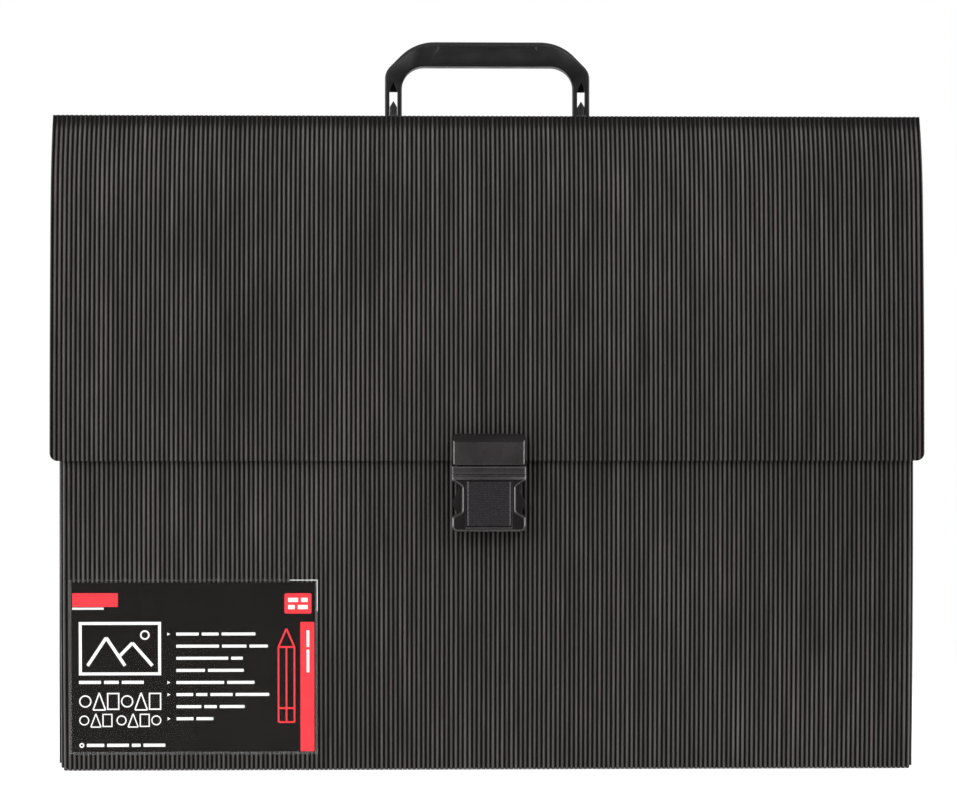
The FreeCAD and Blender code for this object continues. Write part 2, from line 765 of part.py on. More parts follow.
def buckle_socket():
    """The female half: a rim round the mouth, a waist between two side notches and a slotted foot."""
    body = new_body("buckle_socket")
    back = -front_crown
    half = [(d.rim_half_width, d.socket_top), (d.rim_half_width, d.rim_bottom),
            (d.waist_half_width, d.waist_top), (d.waist_half_width, d.waist_bottom),
            (d.foot_half_width, d.foot_top), (d.foot_half_width, d.socket_bottom)]
    outline = [(-x, z) for x, z in half] + [(x, z) for x, z in reversed(half)]
    pad(body, "XZ_Plane", back, d.socket_depth, outline)
    fillet(body, d.foot_corner, lambda e: runs_along(e, "y") and near(e.BoundBox.ZMin, d.socket_bottom))
    pocket(body, "XZ_Plane", -d.mouth_back, d.mouth_depth,
           rectangle(-d.mouth_half_width, d.mouth_floor, d.mouth_half_width, d.socket_top))
    strap = d.strap_width / 2 + d.strap_clearance
    face = front_crown - d.socket_depth
    slot_top = d.strap_slot_bottom + d.strap_slot_height
    pocket(body, "XZ_Plane", -face - d.strap_thickness, d.strap_thickness,
           rectangle(-strap, d.strap_slot_bottom, strap, d.strap_top + d.strap_clearance))
    pocket(body, "XZ_Plane", back, d.socket_depth, rectangle(-strap, d.strap_slot_bottom, strap, slot_top))
    rivet_holes(body, "XZ_Plane", back, d.socket_depth / 2, socket_rivet_places())
    return body


def socket_strap():
    """The webbing over the socket: a leaf in the face's recess that turns back through the slot."""
    body = new_body("socket_strap")
    face = front_crown - d.socket_depth
    low = d.strap_slot_bottom + d.strap_clearance
    high = low + d.strap_thickness
    pad(body, "YZ_Plane", 0, d.strap_width, [
        (face, d.strap_top), (face, low), (front_crown - d.seat_gap, low), (front_crown - d.seat_gap, high),
        (face + d.strap_thickness, high), (face + d.strap_thickness, d.strap_top)], True)
    return body


def socket_backing_plate():
    body = new_body("socket_backing_plate")
    inside = front_crown + d.sheet_thickness + d.seat_gap
    at = -inside - d.plate_thickness
    pad(body, "XZ_Plane", at, d.plate_thickness,
        box_about(Size.of(0.0), d.socket_rivet_height, d.socket_plate_width, d.socket_plate_height))
    rivet_holes(body, "XZ_Plane", at, d.plate_thickness, socket_rivet_places())
    return body


def socket_rivets():
    """Rivets through the socket's back wall, the front panel and the backing plate."""
    start = front_crown + d.sheet_thickness + d.seat_gap + d.plate_thickness + d.rivet_head_height
    shank = start - d.mouth_back + d.flat_head_height
    return rivets("socket_rivets", "XZ_Plane", socket_rivet_places(), [
        (start, shank, d.rivet_radius), (start, d.rivet_head_height, d.rivet_head_radius),
        (d.mouth_back, d.flat_head_height, d.rivet_head_radius)])


def label_band(low, high, near_face, far_face):
    """A band that follows the front panel's face, between two heights and two distances out from it."""
    return [(front_face(high) - far_face, high, Arc(front_radius, 1)), (front_face(low) - far_face, low),
            (front_face(low) - near_face, low, Arc(front_radius, -1)), (front_face(high) - near_face, high)]


def label_card():
    body = new_body("label_card")
    middle = d.label_left + d.label_width / 2
    low = d.label_bottom + d.card_margin
    high = d.label_bottom + d.label_height - d.card_margin
    pad(body, "YZ_Plane", middle, d.label_width - d.card_margin * 2,
        label_band(low, high, Size.of(0.0), d.card_thickness), True)
    return body


def label_sleeve():
    """The clear film over the label card, welded to the front panel round its edge."""
    body = new_body("label_sleeve")
    middle = d.label_left + d.label_width / 2
    low = d.label_bottom
    high = d.label_bottom + d.label_height
    margin = d.card_margin
    pad(body, "YZ_Plane", middle, d.label_width,
        label_band(low, high, Size.of(0.0), d.card_thickness + d.film_thickness), True)
    pocket(body, "YZ_Plane", middle, d.label_width - margin * 2,
           label_band(low + margin, high - margin, Size.of(0.0), d.card_thickness), True)
    return body


def write_parts(pieces):
    """Checks the whole document, then writes one file for each sub-part."""
    doc.recompute()
    failed = [item.Name for item in doc.Objects if "Invalid" in item.State or "Error" in item.State]
    failed += [piece.Label for piece in pieces if piece.Shape.isNull() or not piece.Shape.isValid()]
    if failed:
        raise RuntimeError("failed: " + ", ".join(failed))
    os.makedirs("parts", exist_ok=True)
    for piece in pieces:
        piece.Shape.exportStep("parts/%s.step" % piece.Label)


write_parts([
    back_panel(), base_panel(), gusset("left_gusset", -1), gusset("right_gusset", 1),
    spine_panel(), spine_crease(), handle_backing_plate(), handle_anchor("handle_anchor_left", -1),
    handle_anchor("handle_anchor_right", 1), handle_rivets(), handle(),
    flap_panel(), flap_crease(), buckle_tongue(), tongue_backing_plate(), tongue_rivets(),
    prong("prong_left", -1), prong("prong_right", 1),
    front_panel(), front_crease(), buckle_socket(), socket_strap(), socket_backing_plate(), socket_rivets(),
    label_card(), label_sleeve()])
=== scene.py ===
import json
import math
import random

import bmesh
import bpy
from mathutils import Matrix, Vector


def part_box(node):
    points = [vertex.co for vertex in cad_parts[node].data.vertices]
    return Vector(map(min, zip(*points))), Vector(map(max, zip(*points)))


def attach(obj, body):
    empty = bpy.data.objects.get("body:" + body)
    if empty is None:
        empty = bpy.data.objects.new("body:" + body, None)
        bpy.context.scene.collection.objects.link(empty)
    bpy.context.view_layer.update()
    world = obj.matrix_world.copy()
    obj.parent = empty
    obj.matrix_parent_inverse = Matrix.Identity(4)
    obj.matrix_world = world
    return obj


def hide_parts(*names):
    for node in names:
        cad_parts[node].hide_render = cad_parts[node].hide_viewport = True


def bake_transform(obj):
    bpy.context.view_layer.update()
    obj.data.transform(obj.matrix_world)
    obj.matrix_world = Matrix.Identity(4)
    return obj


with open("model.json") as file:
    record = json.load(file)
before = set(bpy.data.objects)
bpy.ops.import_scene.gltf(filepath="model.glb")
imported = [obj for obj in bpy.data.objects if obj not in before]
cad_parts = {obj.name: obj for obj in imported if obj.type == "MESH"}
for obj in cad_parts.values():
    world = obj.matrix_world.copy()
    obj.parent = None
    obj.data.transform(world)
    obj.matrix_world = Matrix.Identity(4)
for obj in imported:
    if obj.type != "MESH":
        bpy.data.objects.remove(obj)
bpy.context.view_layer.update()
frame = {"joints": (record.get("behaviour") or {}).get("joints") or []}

MM = 0.001

# ---------------------------------------------------------------- places read from the frame

joints = {joint["name"]: joint for joint in frame["joints"]}
flap_axis = Vector(joints["flap_fold"]["pos_m"])
front_axis = Vector(joints["front_fold"]["pos_m"])

back_low, back_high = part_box("back_panel")
base_low, base_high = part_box("base_panel")
spine_low, spine_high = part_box("spine_panel")
flap_low, flap_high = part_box("flap_panel")
front_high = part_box("front_panel")[1]

SHEET = back_high.y - back_low.y
HALF_SHEET = SHEET / 2

# ---------------------------------------------------------------- sizes of the visual model

RIB_PITCH = 2.5 * MM
RIB_HEIGHT = 0.95 * MM
RIB_SINK = 0.66 * MM            # how far the valleys lie under the CAD sheet's face
RIB_STEPS = 8
FOLD_KEEPS = 0.25               # the share of the ribs' height that a fold leaves
PRESSED_FILL = 0.6              # how much of the valleys' depth a fold fills
PRESSED_SHADE = 0.64            # how high a pressed rib counts for the painted valley shade, so that the fold bands are painted darker
SCORE_REACH = 3.0 * MM
FOLD_BAND = 8.0 * MM
FRONT_CORNER = 4.5 * MM
SIDE_RETURN = 9.0 * MM
FRONT_TOP = 300.0 * MM
FRONT_EDGE = -18.0 * MM
FLAP_SWEEP_RADIUS = 2211.0 * MM
FLAP_SHOULDER_RADIUS = 150.7 * MM
FLAP_SHOULDER_DROP = 46.0 * MM
FLAP_CORNER = 4.3 * MM
GUSSET_WALLS = 6
GUSSET_THICKNESS = 0.8 * MM
PLEAT_DEPTH = 14.5 * MM


# ---------------------------------------------------------------- node materials

class Nodes:
    """A small builder for one procedural material."""

    def __init__(self, name):
        self.material = bpy.data.materials.new(name)
        self.material.use_nodes = True
        self.tree = self.material.node_tree
        self.shader = self.tree.nodes["Principled BSDF"]
        self.place = self.add("ShaderNodeTexCoord").outputs["Object"]

    def add(self, kind, **values):
        node = self.tree.nodes.new(kind)
        for key, value in values.items():
            setattr(node, key, value)
        return node

    def link(self, output, socket):
        self.tree.links.new(output, socket)

    def stretched(self, scale):
        """Object coordinates in units of 1 m, scaled for each axis."""
        mapping = self.add("ShaderNodeMapping")
        mapping.inputs["Scale"].default_value = scale
        self.link(self.place, mapping.inputs["Vector"])
        return mapping.outputs["Vector"]

    def noise(self, scale, detail=3.0, roughness=0.5, stretch=(1, 1, 1)):
        node = self.add("ShaderNodeTexNoise")
        node.inputs["Scale"].default_value = scale
        node.inputs["Detail"].default_value = detail
        node.inputs["Roughness"].default_value = roughness
        self.link(self.stretched(stretch), node.inputs["Vector"])
        return node.outputs["Fac"]

    def ramp(self, value, low, high, color_low, color_high):
        node = self.add("ShaderNodeMapRange", data_type="FLOAT_VECTOR")
        node.inputs[7].default_value = (low,) * 3
        node.inputs[8].default_value = (high,) * 3
        node.inputs[9].default_value = color_low
        node.inputs[10].default_value = color_high
        self.link(value, node.inputs[6])
        return node.outputs[1]

    def spread(self, value, low, high, to_low, to_high):
        node = self.add("ShaderNodeMapRange")
        for index, number in enumerate((low, high, to_low, to_high), start=1):
            node.inputs[index].default_value = number
        self.link(value, node.inputs[0])
        return node.outputs[0]

    def tint(self, scale, detail, dark, light):
        """A colour that drifts between two."""
        return self.ramp(self.noise(scale, detail), 0.3, 0.7, dark, light)

    def drift(self, scale, detail, low, high):
        """A number that drifts between two."""
        return self.spread(self.noise(scale, detail), 0.3, 0.7, low, high)

    def math(self, operation, first, second):
        node = self.add("ShaderNodeMath", operation=operation)
        for socket, value in zip(node.inputs, (first, second)):
            if isinstance(value, (int, float)):
                socket.default_value = value
            else:
                self.link(value, socket)
        return node.outputs[0]

    def bump(self, height, strength, distance, normal=None):
        node = self.add("ShaderNodeBump")
        node.inputs["Strength"].default_value = strength
        node.inputs["Distance"].default_value = distance
        self.link(height, node.inputs["Height"])
        if normal is not None:
            self.link(normal, node.inputs["Normal"])
        return node.outputs["Normal"]

    def set(self, **values):
        for key, value in values.items():
            socket = self.shader.inputs[key.replace("_", " ")]
            if isinstance(value, (int, float, tuple)):
                socket.default_value = value
            else:
                self.link(value, socket)
        return self


def polypropylene(name, dark, light, roughness, specular=0.5, grain=1.0, ribbed=False):
    """Black polypropylene: a leathery micro-grain, faint rubbed streaks along the ribs and uneven gloss.

    On a ribbed sheet, shade is painted into the valleys, which turn dark and dull, and the crests keep a
    lighter colour that paints in their sheen, with more gloss.
    """
    m = Nodes(name)
    cloud = m.noise(9.0, 3.0)
    fine = m.noise(900.0, 4.0, 0.6)
    streak = m.noise(60.0, 3.0, 0.6, (6.0, 1.0, 0.35))
    mixed = m.math("ADD", m.math("MULTIPLY", cloud, 0.6), m.math("MULTIPLY", streak, 0.4))
    uneven = m.math("ADD", m.math("MULTIPLY", fine, 0.5), m.math("MULTIPLY", mixed, 0.5))
    color = m.ramp(mixed, 0.3, 0.7, dark, light)
    gloss = m.spread(uneven, 0.3, 0.7, roughness - 0.07, roughness + 0.09)
    if ribbed:
        relief = m.add("ShaderNodeAttribute", attribute_name="relief").outputs["Fac"]
        shaded_relief = m.math("ADD", relief, m.spread(uneven, 0.3, 0.7, -0.06, 0.06))
        crest = m.math("MULTIPLY", m.spread(shaded_relief, 0.62, 0.98, 0.0, 1.0),
                       m.spread(streak, 0.3, 0.7, 0.60, 1.0))
        # Painted shade: towards the valleys the colour mixes down to near black, and the crests keep the
        # lighter colour as a painted sheen
        shade = m.add("ShaderNodeMix", data_type="RGBA")
        m.link(crest, shade.inputs["Factor"])
        shade.inputs[6].default_value = (0.0012, 0.0009, 0.0008, 1.0)
        m.link(color, shade.inputs[7])
        color = shade.outputs[2]
        gloss = m.math("ADD", gloss, m.spread(crest, 0.0, 1.0, 0.6, 0.0))
    m.set(Base_Color=color, Roughness=gloss)
    coarse = m.bump(m.noise(380.0, 3.0), 0.35 * grain, 0.0004)
    m.set(Normal=m.bump(fine, 0.30 * grain, 0.00015, coarse))
    m.set(Specular_IOR_Level=specular)
    return m.material


def moulded_plastic(name, dark, light, roughness, specular=0.5, grain=0.25):
    """Injection-moulded black plastic: a fine satin texture with soft flow marks."""
    m = Nodes(name)
    m.set(Base_Color=m.tint(55.0, 4.0, dark, light), Specular_IOR_Level=specular)
    m.set(Roughness=m.drift(120.0, 4.0, roughness - 0.05, roughness + 0.07))
    waves = m.bump(m.noise(40.0, 2.0), 0.10, 0.0008)
    m.set(Normal=m.bump(m.noise(2600.0, 3.0), grain, 0.00008, waves))
    return m.material


def woven_webbing(name):
    """Black nylon webbing: rows of over-and-under yarns, with a soft sheen."""
    m = Nodes(name)
    waves = []
    for axis, scale in (("X", 420.0), ("Z", 330.0)):
        wave = m.add("ShaderNodeTexWave", wave_type="BANDS", bands_direction=axis)
        wave.inputs["Scale"].default_value = scale
        wave.inputs["Distortion"].default_value = 0.6
        m.link(m.place, wave.inputs["Vector"])
        waves.append(wave.outputs["Fac"])
    weave = m.math("MULTIPLY", waves[0], waves[1])
    m.set(Base_Color=m.ramp(weave, 0.1, 0.8, (0.004, 0.003, 0.004), (0.025, 0.021, 0.025)))
    m.set(Roughness=m.drift(700.0, 3.0, 0.6, 0.85))
    m.set(Normal=m.bump(weave, 0.9, 0.0004), Sheen_Weight=0.04, Specular_IOR_Level=0.3)
    return m.material


def printed(name, color, varied, specular=0.3):
    """Ink on card."""
    m = Nodes(name)
    m.set(Base_Color=m.tint(140.0, 4.0, color, varied))
    m.set(Roughness=m.drift(300.0, 3.0, 0.50, 0.65), Specular_IOR_Level=specular)
    m.set(Normal=m.bump(m.noise(1500.0, 2.0), 0.08, 0.0001))
    return m.material


def clear_film(name, color, alpha, roughness):
    """Thin clear film with faint waviness."""
    m = Nodes(name)
    m.set(Base_Color=color, Alpha=alpha, Specular_IOR_Level=0.35)
    m.set(Roughness=m.drift(90.0, 3.0, roughness, roughness + 0.08))
    m.set(Normal=m.bump(m.noise(35.0, 2.0), 0.35, 0.001))
    return m.material


def black_metal(name):
    """Black-painted metal."""
    m = Nodes(name)
    m.set(Base_Color=m.tint(400.0, 4.0, (0.012, 0.012, 0.013), (0.03, 0.03, 0.03)))
    m.set(Roughness=m.drift(900.0, 3.0, 0.25, 0.4))
    m.set(Normal=m.bump(m.noise(1500.0), 0.08, 0.0001), Metallic=0.4)
    return m.material


# ribbed=True paints shade into the valleys and a lighter, painted sheen on the crests
RIBBED = polypropylene("ribbed_sheet", (0.056, 0.048, 0.0475), (0.102, 0.089, 0.0885), 0.36, 0.22,
                       ribbed=True)
INSIDE = polypropylene("gusset_sheet", (0.009, 0.0085, 0.0088), (0.016, 0.015, 0.0155), 0.42, 0.4)
HANDLE = moulded_plastic("handle_moulding", (0.0030, 0.0028, 0.0030),
                         (0.0060, 0.0056, 0.0058), 0.42, 0.26)
BUCKLE = moulded_plastic("buckle_moulding", (0.016, 0.0135, 0.014), (0.028, 0.024, 0.025), 0.27)
# Painted shade: a darker, matt copy of the buckle moulding for faces that lie in shade
BUCKLE_SHADED_MATT = moulded_plastic("buckle_shaded_matt", (0.0035, 0.0026, 0.0030),
                              (0.0070, 0.0056, 0.0062), 0.55, 0.12)
HIDDEN = moulded_plastic("moulded", (0.011, 0.011, 0.011), (0.020, 0.020, 0.020), 0.48)
WEBBING = woven_webbing("webbing")
# Painted highlight: a lighter moulding for the webbing's rolled edges, standing in for light caught on them
SELVEDGE_HIGHLIGHT = moulded_plastic("webbing_edge_highlight", (0.020, 0.017, 0.019), (0.045, 0.040, 0.044), 0.38)
CARD = printed("card_black", (0.0035, 0.0024, 0.0015), (0.0060, 0.0045, 0.0032), 0.12)
RED_INK = printed("card_red", (0.95, 0.030, 0.045), (0.98, 0.042, 0.058))
WHITE_INK = printed("card_white", (0.90, 0.90, 0.88), (0.96, 0.96, 0.95))
FILM = clear_film("film_clear", (0.02, 0.02, 0.02, 1.0), 0.05, 0.20)
WELD = clear_film("film_weld", (0.35, 0.35, 0.36, 1.0), 0.10, 0.12)
# Painted glint: a pale, half-clear film for flat strips that stand in for light caught on the sleeve's top
# right corner
FILM_GLINT = clear_film("film_glint", (0.85, 0.86, 0.87, 1.0), 0.45, 0.12)
METAL = black_metal("rivet_black")


# ---------------------------------------------------------------- mesh helpers

def add_object(name, vertices, faces, material):
    mesh = bpy.data.meshes.new(name)
    mesh.from_pydata([tuple(v) for v in vertices], [], faces)
    mesh.validate()
    mesh.update()
    obj = bpy.data.objects.new(name, mesh)
    bpy.context.scene.collection.objects.link(obj)
    mesh.materials.append(material)
    return obj


def smooth(obj, degrees=35.0):
    """Smooth shading with sharp edges above an angle, and normals that point outwards."""
    mesh = obj.data
    work = bmesh.new()
    work.from_mesh(mesh)
    bmesh.ops.recalc_face_normals(work, faces=work.faces)
    work.to_mesh(mesh)
    work.free()
    mesh.polygons.foreach_set("use_smooth", [True] * len(mesh.polygons))
    mesh.set_sharp_from_angle(angle=math.radians(degrees))
    mesh.update()
    return obj


def bake_modifiers(obj):
    """Turns an object's modifiers into mesh."""
    depsgraph = bpy.context.evaluated_depsgraph_get()
    depsgraph.update()
    mesh = bpy.data.meshes.new_from_object(obj.evaluated_get(depsgraph))
    obj.modifiers.clear()
    obj.data = mesh
    return obj


def carve(obj, cutter, operation="DIFFERENCE"):
    """Cuts one closed mesh by another, which is used up."""
    modifier = obj.modifiers.new("carve", "BOOLEAN")
    modifier.operation = operation
    modifier.solver = "EXACT"
    modifier.object = cutter
    bake_modifiers(obj)
    bpy.data.objects.remove(cutter)
    return obj


def soften(obj, width, segments=3, degrees=32.0):
    """Rounds every edge sharper than an angle."""
    modifier = obj.modifiers.new("soften", "BEVEL")
    modifier.width = width
    modifier.segments = segments
    modifier.limit_method = "ANGLE"
    modifier.angle_limit = math.radians(degrees)
    modifier.use_clamp_overlap = True
    bake_modifiers(obj)
    return smooth(obj, 40.0)


def rounded(corners, steps=6):
    """An outline from (x, z, radius) corners, with each corner rounded by an arc."""
    outline = []
    count = len(corners)
    for index, (x, z, radius) in enumerate(corners):
        here = Vector((x, z))
        before = Vector(corners[index - 1][:2]) - here
        after = Vector(corners[(index + 1) % count][:2]) - here
        if radius <= 0:
            outline.append(here)
            continue
        inside = before.angle(after) / 2
        setback = min(radius / math.tan(inside), before.length * 0.49, after.length * 0.49)
        start = here + before.normalized() * setback
        end = here + after.normalized() * setback
        for step in range(steps + 1):
            t = step / steps
            outline.append(start * (1 - t) ** 2 + here * (2 * t * (1 - t)) + end * t ** 2)
    return outline


def placed(axis, first, second, along):
    """A point from its place along an axis and its places on the other two, in the order x, y, z."""
    point = [first, second]
    point.insert("xyz".index(axis), along)
    return tuple(point)


def prism(name, outline, near, far, material, axis="y"):
    """An outline extruded along an axis between two places."""
    return loft(name, [[placed(axis, p[0], p[1], along) for p in outline] for along in (near, far)], material)


def loft(name, rings, material):
    """A closed tube through rings of equal length, capped at both ends."""
    count = len(rings[0])
    vertices = [p for ring in rings for p in ring]
    faces = [tuple(range(count)), tuple(reversed(range((len(rings) - 1) * count, len(rings) * count)))]
    for row in range(len(rings) - 1):
        for i in range(count):
            a, b = row * count + i, row * count + (i + 1) % count
            faces.append((a, b, b + count, a + count))
    return smooth(add_object(name, vertices, faces, material))


def inset(outline, distance):
    """A closed outline moved inwards by a distance; the outline runs anticlockwise or clockwise."""
    count = len(outline)
    area = sum(outline[i][0] * outline[(i + 1) % count][1] - outline[(i + 1) % count][0] * outline[i][1]
               for i in range(count))
    turn = 1.0 if area > 0 else -1.0
    moved = []
    for i in range(count):
        here = Vector(outline[i][:2])
        before = (here - Vector(outline[i - 1][:2])).normalized()
        after = (Vector(outline[(i + 1) % count][:2]) - here).normalized()
        along = (before + after).normalized()
        normal = Vector((-along.y, along.x)) * turn
        moved.append(here + normal * distance / max(along.dot(after), 0.5))
    return moved


def chamfered(name, outline, y_face, y_back, chamfer, material):
    """An extruded outline with a flat chamfer round its front."""
    levels = ((inset(outline, chamfer), y_face), (outline, y_face + chamfer), (outline, y_back))
    return loft(name, [[(p[0], y, p[1]) for p in points] for points, y in levels], material)


def bar_along_x(name, outline, half_width, material):
    """An outline in y and z, extruded evenly to both sides."""
    return prism(name, outline, -half_width, half_width, material, "x")


def frame_outline(x0, z0, x1, z1, radius=0.0):
    """A rectangle with rounded corners."""
    return rounded([(x0, z0, radius), (x1, z0, radius), (x1, z1, radius), (x0, z1, radius)])


def joined(name, objects):
    """One object from several meshes."""
    work = bmesh.new()
    for obj in objects:
        work.from_mesh(obj.data)
    mesh = bpy.data.meshes.new(name)
    work.to_mesh(mesh)
    work.free()
    result = bpy.data.objects.new(name, mesh)
    bpy.context.scene.collection.objects.link(result)
    mesh.materials.append(objects[0].data.materials[0])
    for obj in objects:
        bpy.data.objects.remove(obj)
    return result


def paint(obj, material, wanted):
    """Gives another finish to the faces whose middle and normal a test picks out."""
    obj.data.materials.append(material)
    for polygon in obj.data.polygons:
        if wanted(polygon.center, polygon.normal):
            polygon.material_index = len(obj.data.materials) - 1


def sheet_solid(name, outer, inner, material, relief=None):
    """A closed sheet from two equal grids of points: its outer face, its inner face and its rims.

    relief gives each outer point's height, from 0 in a valley to 1 on a crest, which the material reads to
    paint shade into the valleys.
    """
    rows, columns = len(outer), len(outer[0])
    vertices = [p for row in outer for p in row] + [p for row in inner for p in row]
    offset = rows * columns

    def at(row, column, side):
        return side * offset + row * columns + column

    faces = []
    for row in range(rows - 1):
        for column in range(columns - 1):
            for side in (0, 1):
                faces.append((at(row, column, side), at(row, column + 1, side),
                              at(row + 1, column + 1, side), at(row + 1, column, side)))
    for row in range(rows - 1):
        for column in (0, columns - 1):
            faces.append((at(row, column, 0), at(row + 1, column, 0),
                          at(row + 1, column, 1), at(row, column, 1)))
    for column in range(columns - 1):
        for row in (0, rows - 1):
            faces.append((at(row, column, 0), at(row, column + 1, 0),
                          at(row, column + 1, 1), at(row, column, 1)))
    sheet = smooth(add_object(name, vertices, faces, material), 50.0)
    if relief is not None:
        values = sheet.data.attributes.new("relief", "FLOAT", "POINT")
        values.data.foreach_set("value", relief + [1.0] * offset)
        sheet.data.materials.append(INSIDE)
        for polygon in sheet.data.polygons:
            if min(polygon.vertices) >= offset:
                polygon.material_index = 1
    return sheet


# ---------------------------------------------------------------- ribbed sheets

rib_random = random.Random(11)
rib_heights = {index: 1.0 + rib_random.uniform(-0.05, 0.05) for index in range(-120, 121)}


def rib(distance):
    """How far the ribbed face stands over its valleys, at a distance across the ribs."""
    index = math.floor(distance / RIB_PITCH + 0.5)
    phase = distance / RIB_PITCH - index
    return RIB_HEIGHT * rib_heights[index] * (math.cos(math.pi * phase) ** 2) ** 0.42


def rib_stations(half_width):
    """Places across a sheet, close enough to draw each rib round, with both edges."""
    step = RIB_PITCH / RIB_STEPS
    count = int(half_width / step)
    stations = [step * i for i in range(-count, count + 1)]
    if half_width - stations[-1] > step * 0.2:
        stations = [-half_width] + stations + [half_width]
    return stations


def eased(t, start, end):
    t = max(0.0, min(1.0, (t - start) / (end - start)))
    return t * t * (3 - 2 * t)


def ribbed_strip(name, profile, half_width, corner=0.0, pressed=None):
    """A ribbed sheet whose middle follows a profile of (y, z, outward normal), with ribs along it.

    corner rounds the two corners at the profile's last end. pressed gives how much of the ribs' height
    a fold's score line leaves, for a distance along the profile.
    """
    stations = rib_stations(half_width)
    length = [0.0]
    for (y0, z0, _), (y1, z1, _) in zip(profile, profile[1:]):
        length.append(length[-1] + math.hypot(y1 - y0, z1 - z0))
    outer, inner, relief = [], [], []
    for (y, z, normal), run in zip(profile, length):
        left = length[-1] - run
        kept = pressed(run) if pressed else 1.0
        limit = half_width
        if left < corner:
            limit = half_width - corner + math.sqrt(max(corner ** 2 - (corner - left) ** 2, 0.0))
        outer_row, inner_row = [], []
        for x in stations:
            held = max(-limit, min(limit, x))
            out = HALF_SHEET - RIB_SINK + rib(x) * kept + RIB_SINK * PRESSED_FILL * (1 - kept)
            relief.append(rib(x) / RIB_HEIGHT * (PRESSED_SHADE + (1 - PRESSED_SHADE) * kept))
            outer_row.append((held, y + normal[0] * out, z + normal[1] * out))
            inner_row.append((held, y - normal[0] * HALF_SHEET, z - normal[1] * HALF_SHEET))
        outer.append(outer_row)
        inner.append(inner_row)
    return sheet_solid(name, outer, inner, RIBBED, relief)


def pressed_near(*marks):
    """The share of the ribs' height left near the given places along a profile."""
    def kept(run):
        return min(eased(abs(run - mark), reach * 0.25, reach * 1.15) * (1 - FOLD_KEEPS) + FOLD_KEEPS
                   for mark, reach in marks)
    return kept


def arc_profile(centre, radius, start, end, steps):
    """Points on a circle in (y, z) between two angles, with normals away from the centre."""
    points = []
    for step in range(steps + 1):
        angle = start + (end - start) * step / steps
        normal = (math.cos(angle), math.sin(angle))
        points.append((centre[0] + radius * normal[0], centre[1] + radius * normal[1], normal))
    return points


def straight_profile(start, end, normal, steps):
    return [(start[0] + (end[0] - start[0]) * i / steps, start[1] + (end[1] - start[1]) * i / steps, normal)
            for i in range(steps + 1)]


def bent_profile(start, start_normal, end, end_normal, steps=8):
    """A smooth bend between two sheet ends, with normals that turn from one to the other."""
    points = []
    tangent_start = Vector((start_normal[1], -start_normal[0]))
    tangent_end = Vector((end_normal[1], -end_normal[0]))
    first, last = Vector(start), Vector(end)
    if (last - first).dot(tangent_start) < 0:
        tangent_start, tangent_end = -tangent_start, -tangent_end
    reach = (last - first).length * 0.45
    for i in range(steps + 1):
        t = i / steps
        point = (first * (1 - t) ** 3 + (first + tangent_start * reach) * (3 * t * (1 - t) ** 2)
                 + (last - tangent_end * reach) * (3 * t * t * (1 - t)) + last * t ** 3)
        normal = (Vector(start_normal) * (1 - t) + Vector(end_normal) * t).normalized()
        points.append((point.x, point.y, tuple(normal)))
    return points


def finish_piece(obj, body, slot, *nodes):
    if nodes:
        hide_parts(*nodes)
    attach(obj, body)
    return obj


def finish_blend(obj, slot, first, second, start, end, *nodes):
    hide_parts(*nodes)
    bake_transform(obj)
    return obj


def make_back():
    middle = back_low.y + HALF_SHEET
    top = back_high.z - SCORE_REACH
    profile = (straight_profile((middle, back_low.z), (middle, top), (1.0, 0.0), 8)[:-1]
               + straight_profile((middle, top), (middle, back_high.z), (1.0, 0.0), 6))
    sheet = ribbed_strip("back_panel_sheet", profile, back_high.x,
                         pressed=pressed_near((back_high.z, SCORE_REACH)))
    finish_piece(sheet, "shell", "ribbed_sheet", "back_panel")


def make_base():
    middle = base_low.z + HALF_SHEET
    profile = straight_profile((base_low.y, middle), (base_high.y, middle), (0.0, -1.0), 3)
    # The ribs stay above the surface that the case stands on
    profile = [(y, z + RIB_HEIGHT - RIB_SINK, normal) for y, z, normal in profile]
    base = ribbed_strip("base_panel_sheet", profile, base_high.x)
    finish_piece(base, "shell", "ribbed_sheet", "base_panel")


def make_spine():
    middle = spine_high.z - HALF_SHEET
    profile = straight_profile((spine_low.y, middle), (spine_high.y, middle), (0.0, 1.0), 16)
    ends = pressed_near((0.0, SCORE_REACH), (spine_high.y - spine_low.y, SCORE_REACH))
    return ribbed_strip("spine_panel_sheet", profile, spine_high.x, pressed=ends)


def flap_geometry():
    """The centres, angles and fold end of the flap's two sweeps, as the CAD flap has them."""
    hem = flap_low.z
    join_z = spine_high.z - FLAP_SHOULDER_DROP
    middle = flap_low.y + HALF_SHEET
    sweep_centre = Vector((middle + FLAP_SWEEP_RADIUS, hem))
    rise = join_z - hem
    join = Vector((sweep_centre.x - math.sqrt(FLAP_SWEEP_RADIUS ** 2 - rise ** 2), join_z))
    shoulder_centre = join + (sweep_centre - join).normalized() * FLAP_SHOULDER_RADIUS
    fold = Vector((flap_axis.y, flap_axis.z)) - shoulder_centre
    join_angle = math.atan2(join.y - shoulder_centre.y, join.x - shoulder_centre.x)
    fold_angle = math.atan2(fold.y, fold.x)
    return sweep_centre, shoulder_centre, join_angle, fold_angle


def flap_profile():
    sweep_centre, shoulder_centre, join_angle, fold_angle = flap_geometry()
    start = fold_angle + (spine_low.y - flap_axis.y) / FLAP_SHOULDER_RADIUS
    band = start + math.copysign(1.2 * FOLD_BAND / FLAP_SHOULDER_RADIUS, join_angle - start)
    folded = arc_profile(shoulder_centre, FLAP_SHOULDER_RADIUS, start, band, 7)
    upper = arc_profile(shoulder_centre, FLAP_SHOULDER_RADIUS, band, join_angle, 8)
    rise = math.asin((spine_high.z - FLAP_SHOULDER_DROP - flap_low.z) / FLAP_SWEEP_RADIUS)
    lower = arc_profile(sweep_centre, FLAP_SWEEP_RADIUS, math.pi - rise, math.pi, 9)
    return folded + upper[1:] + lower[1:]


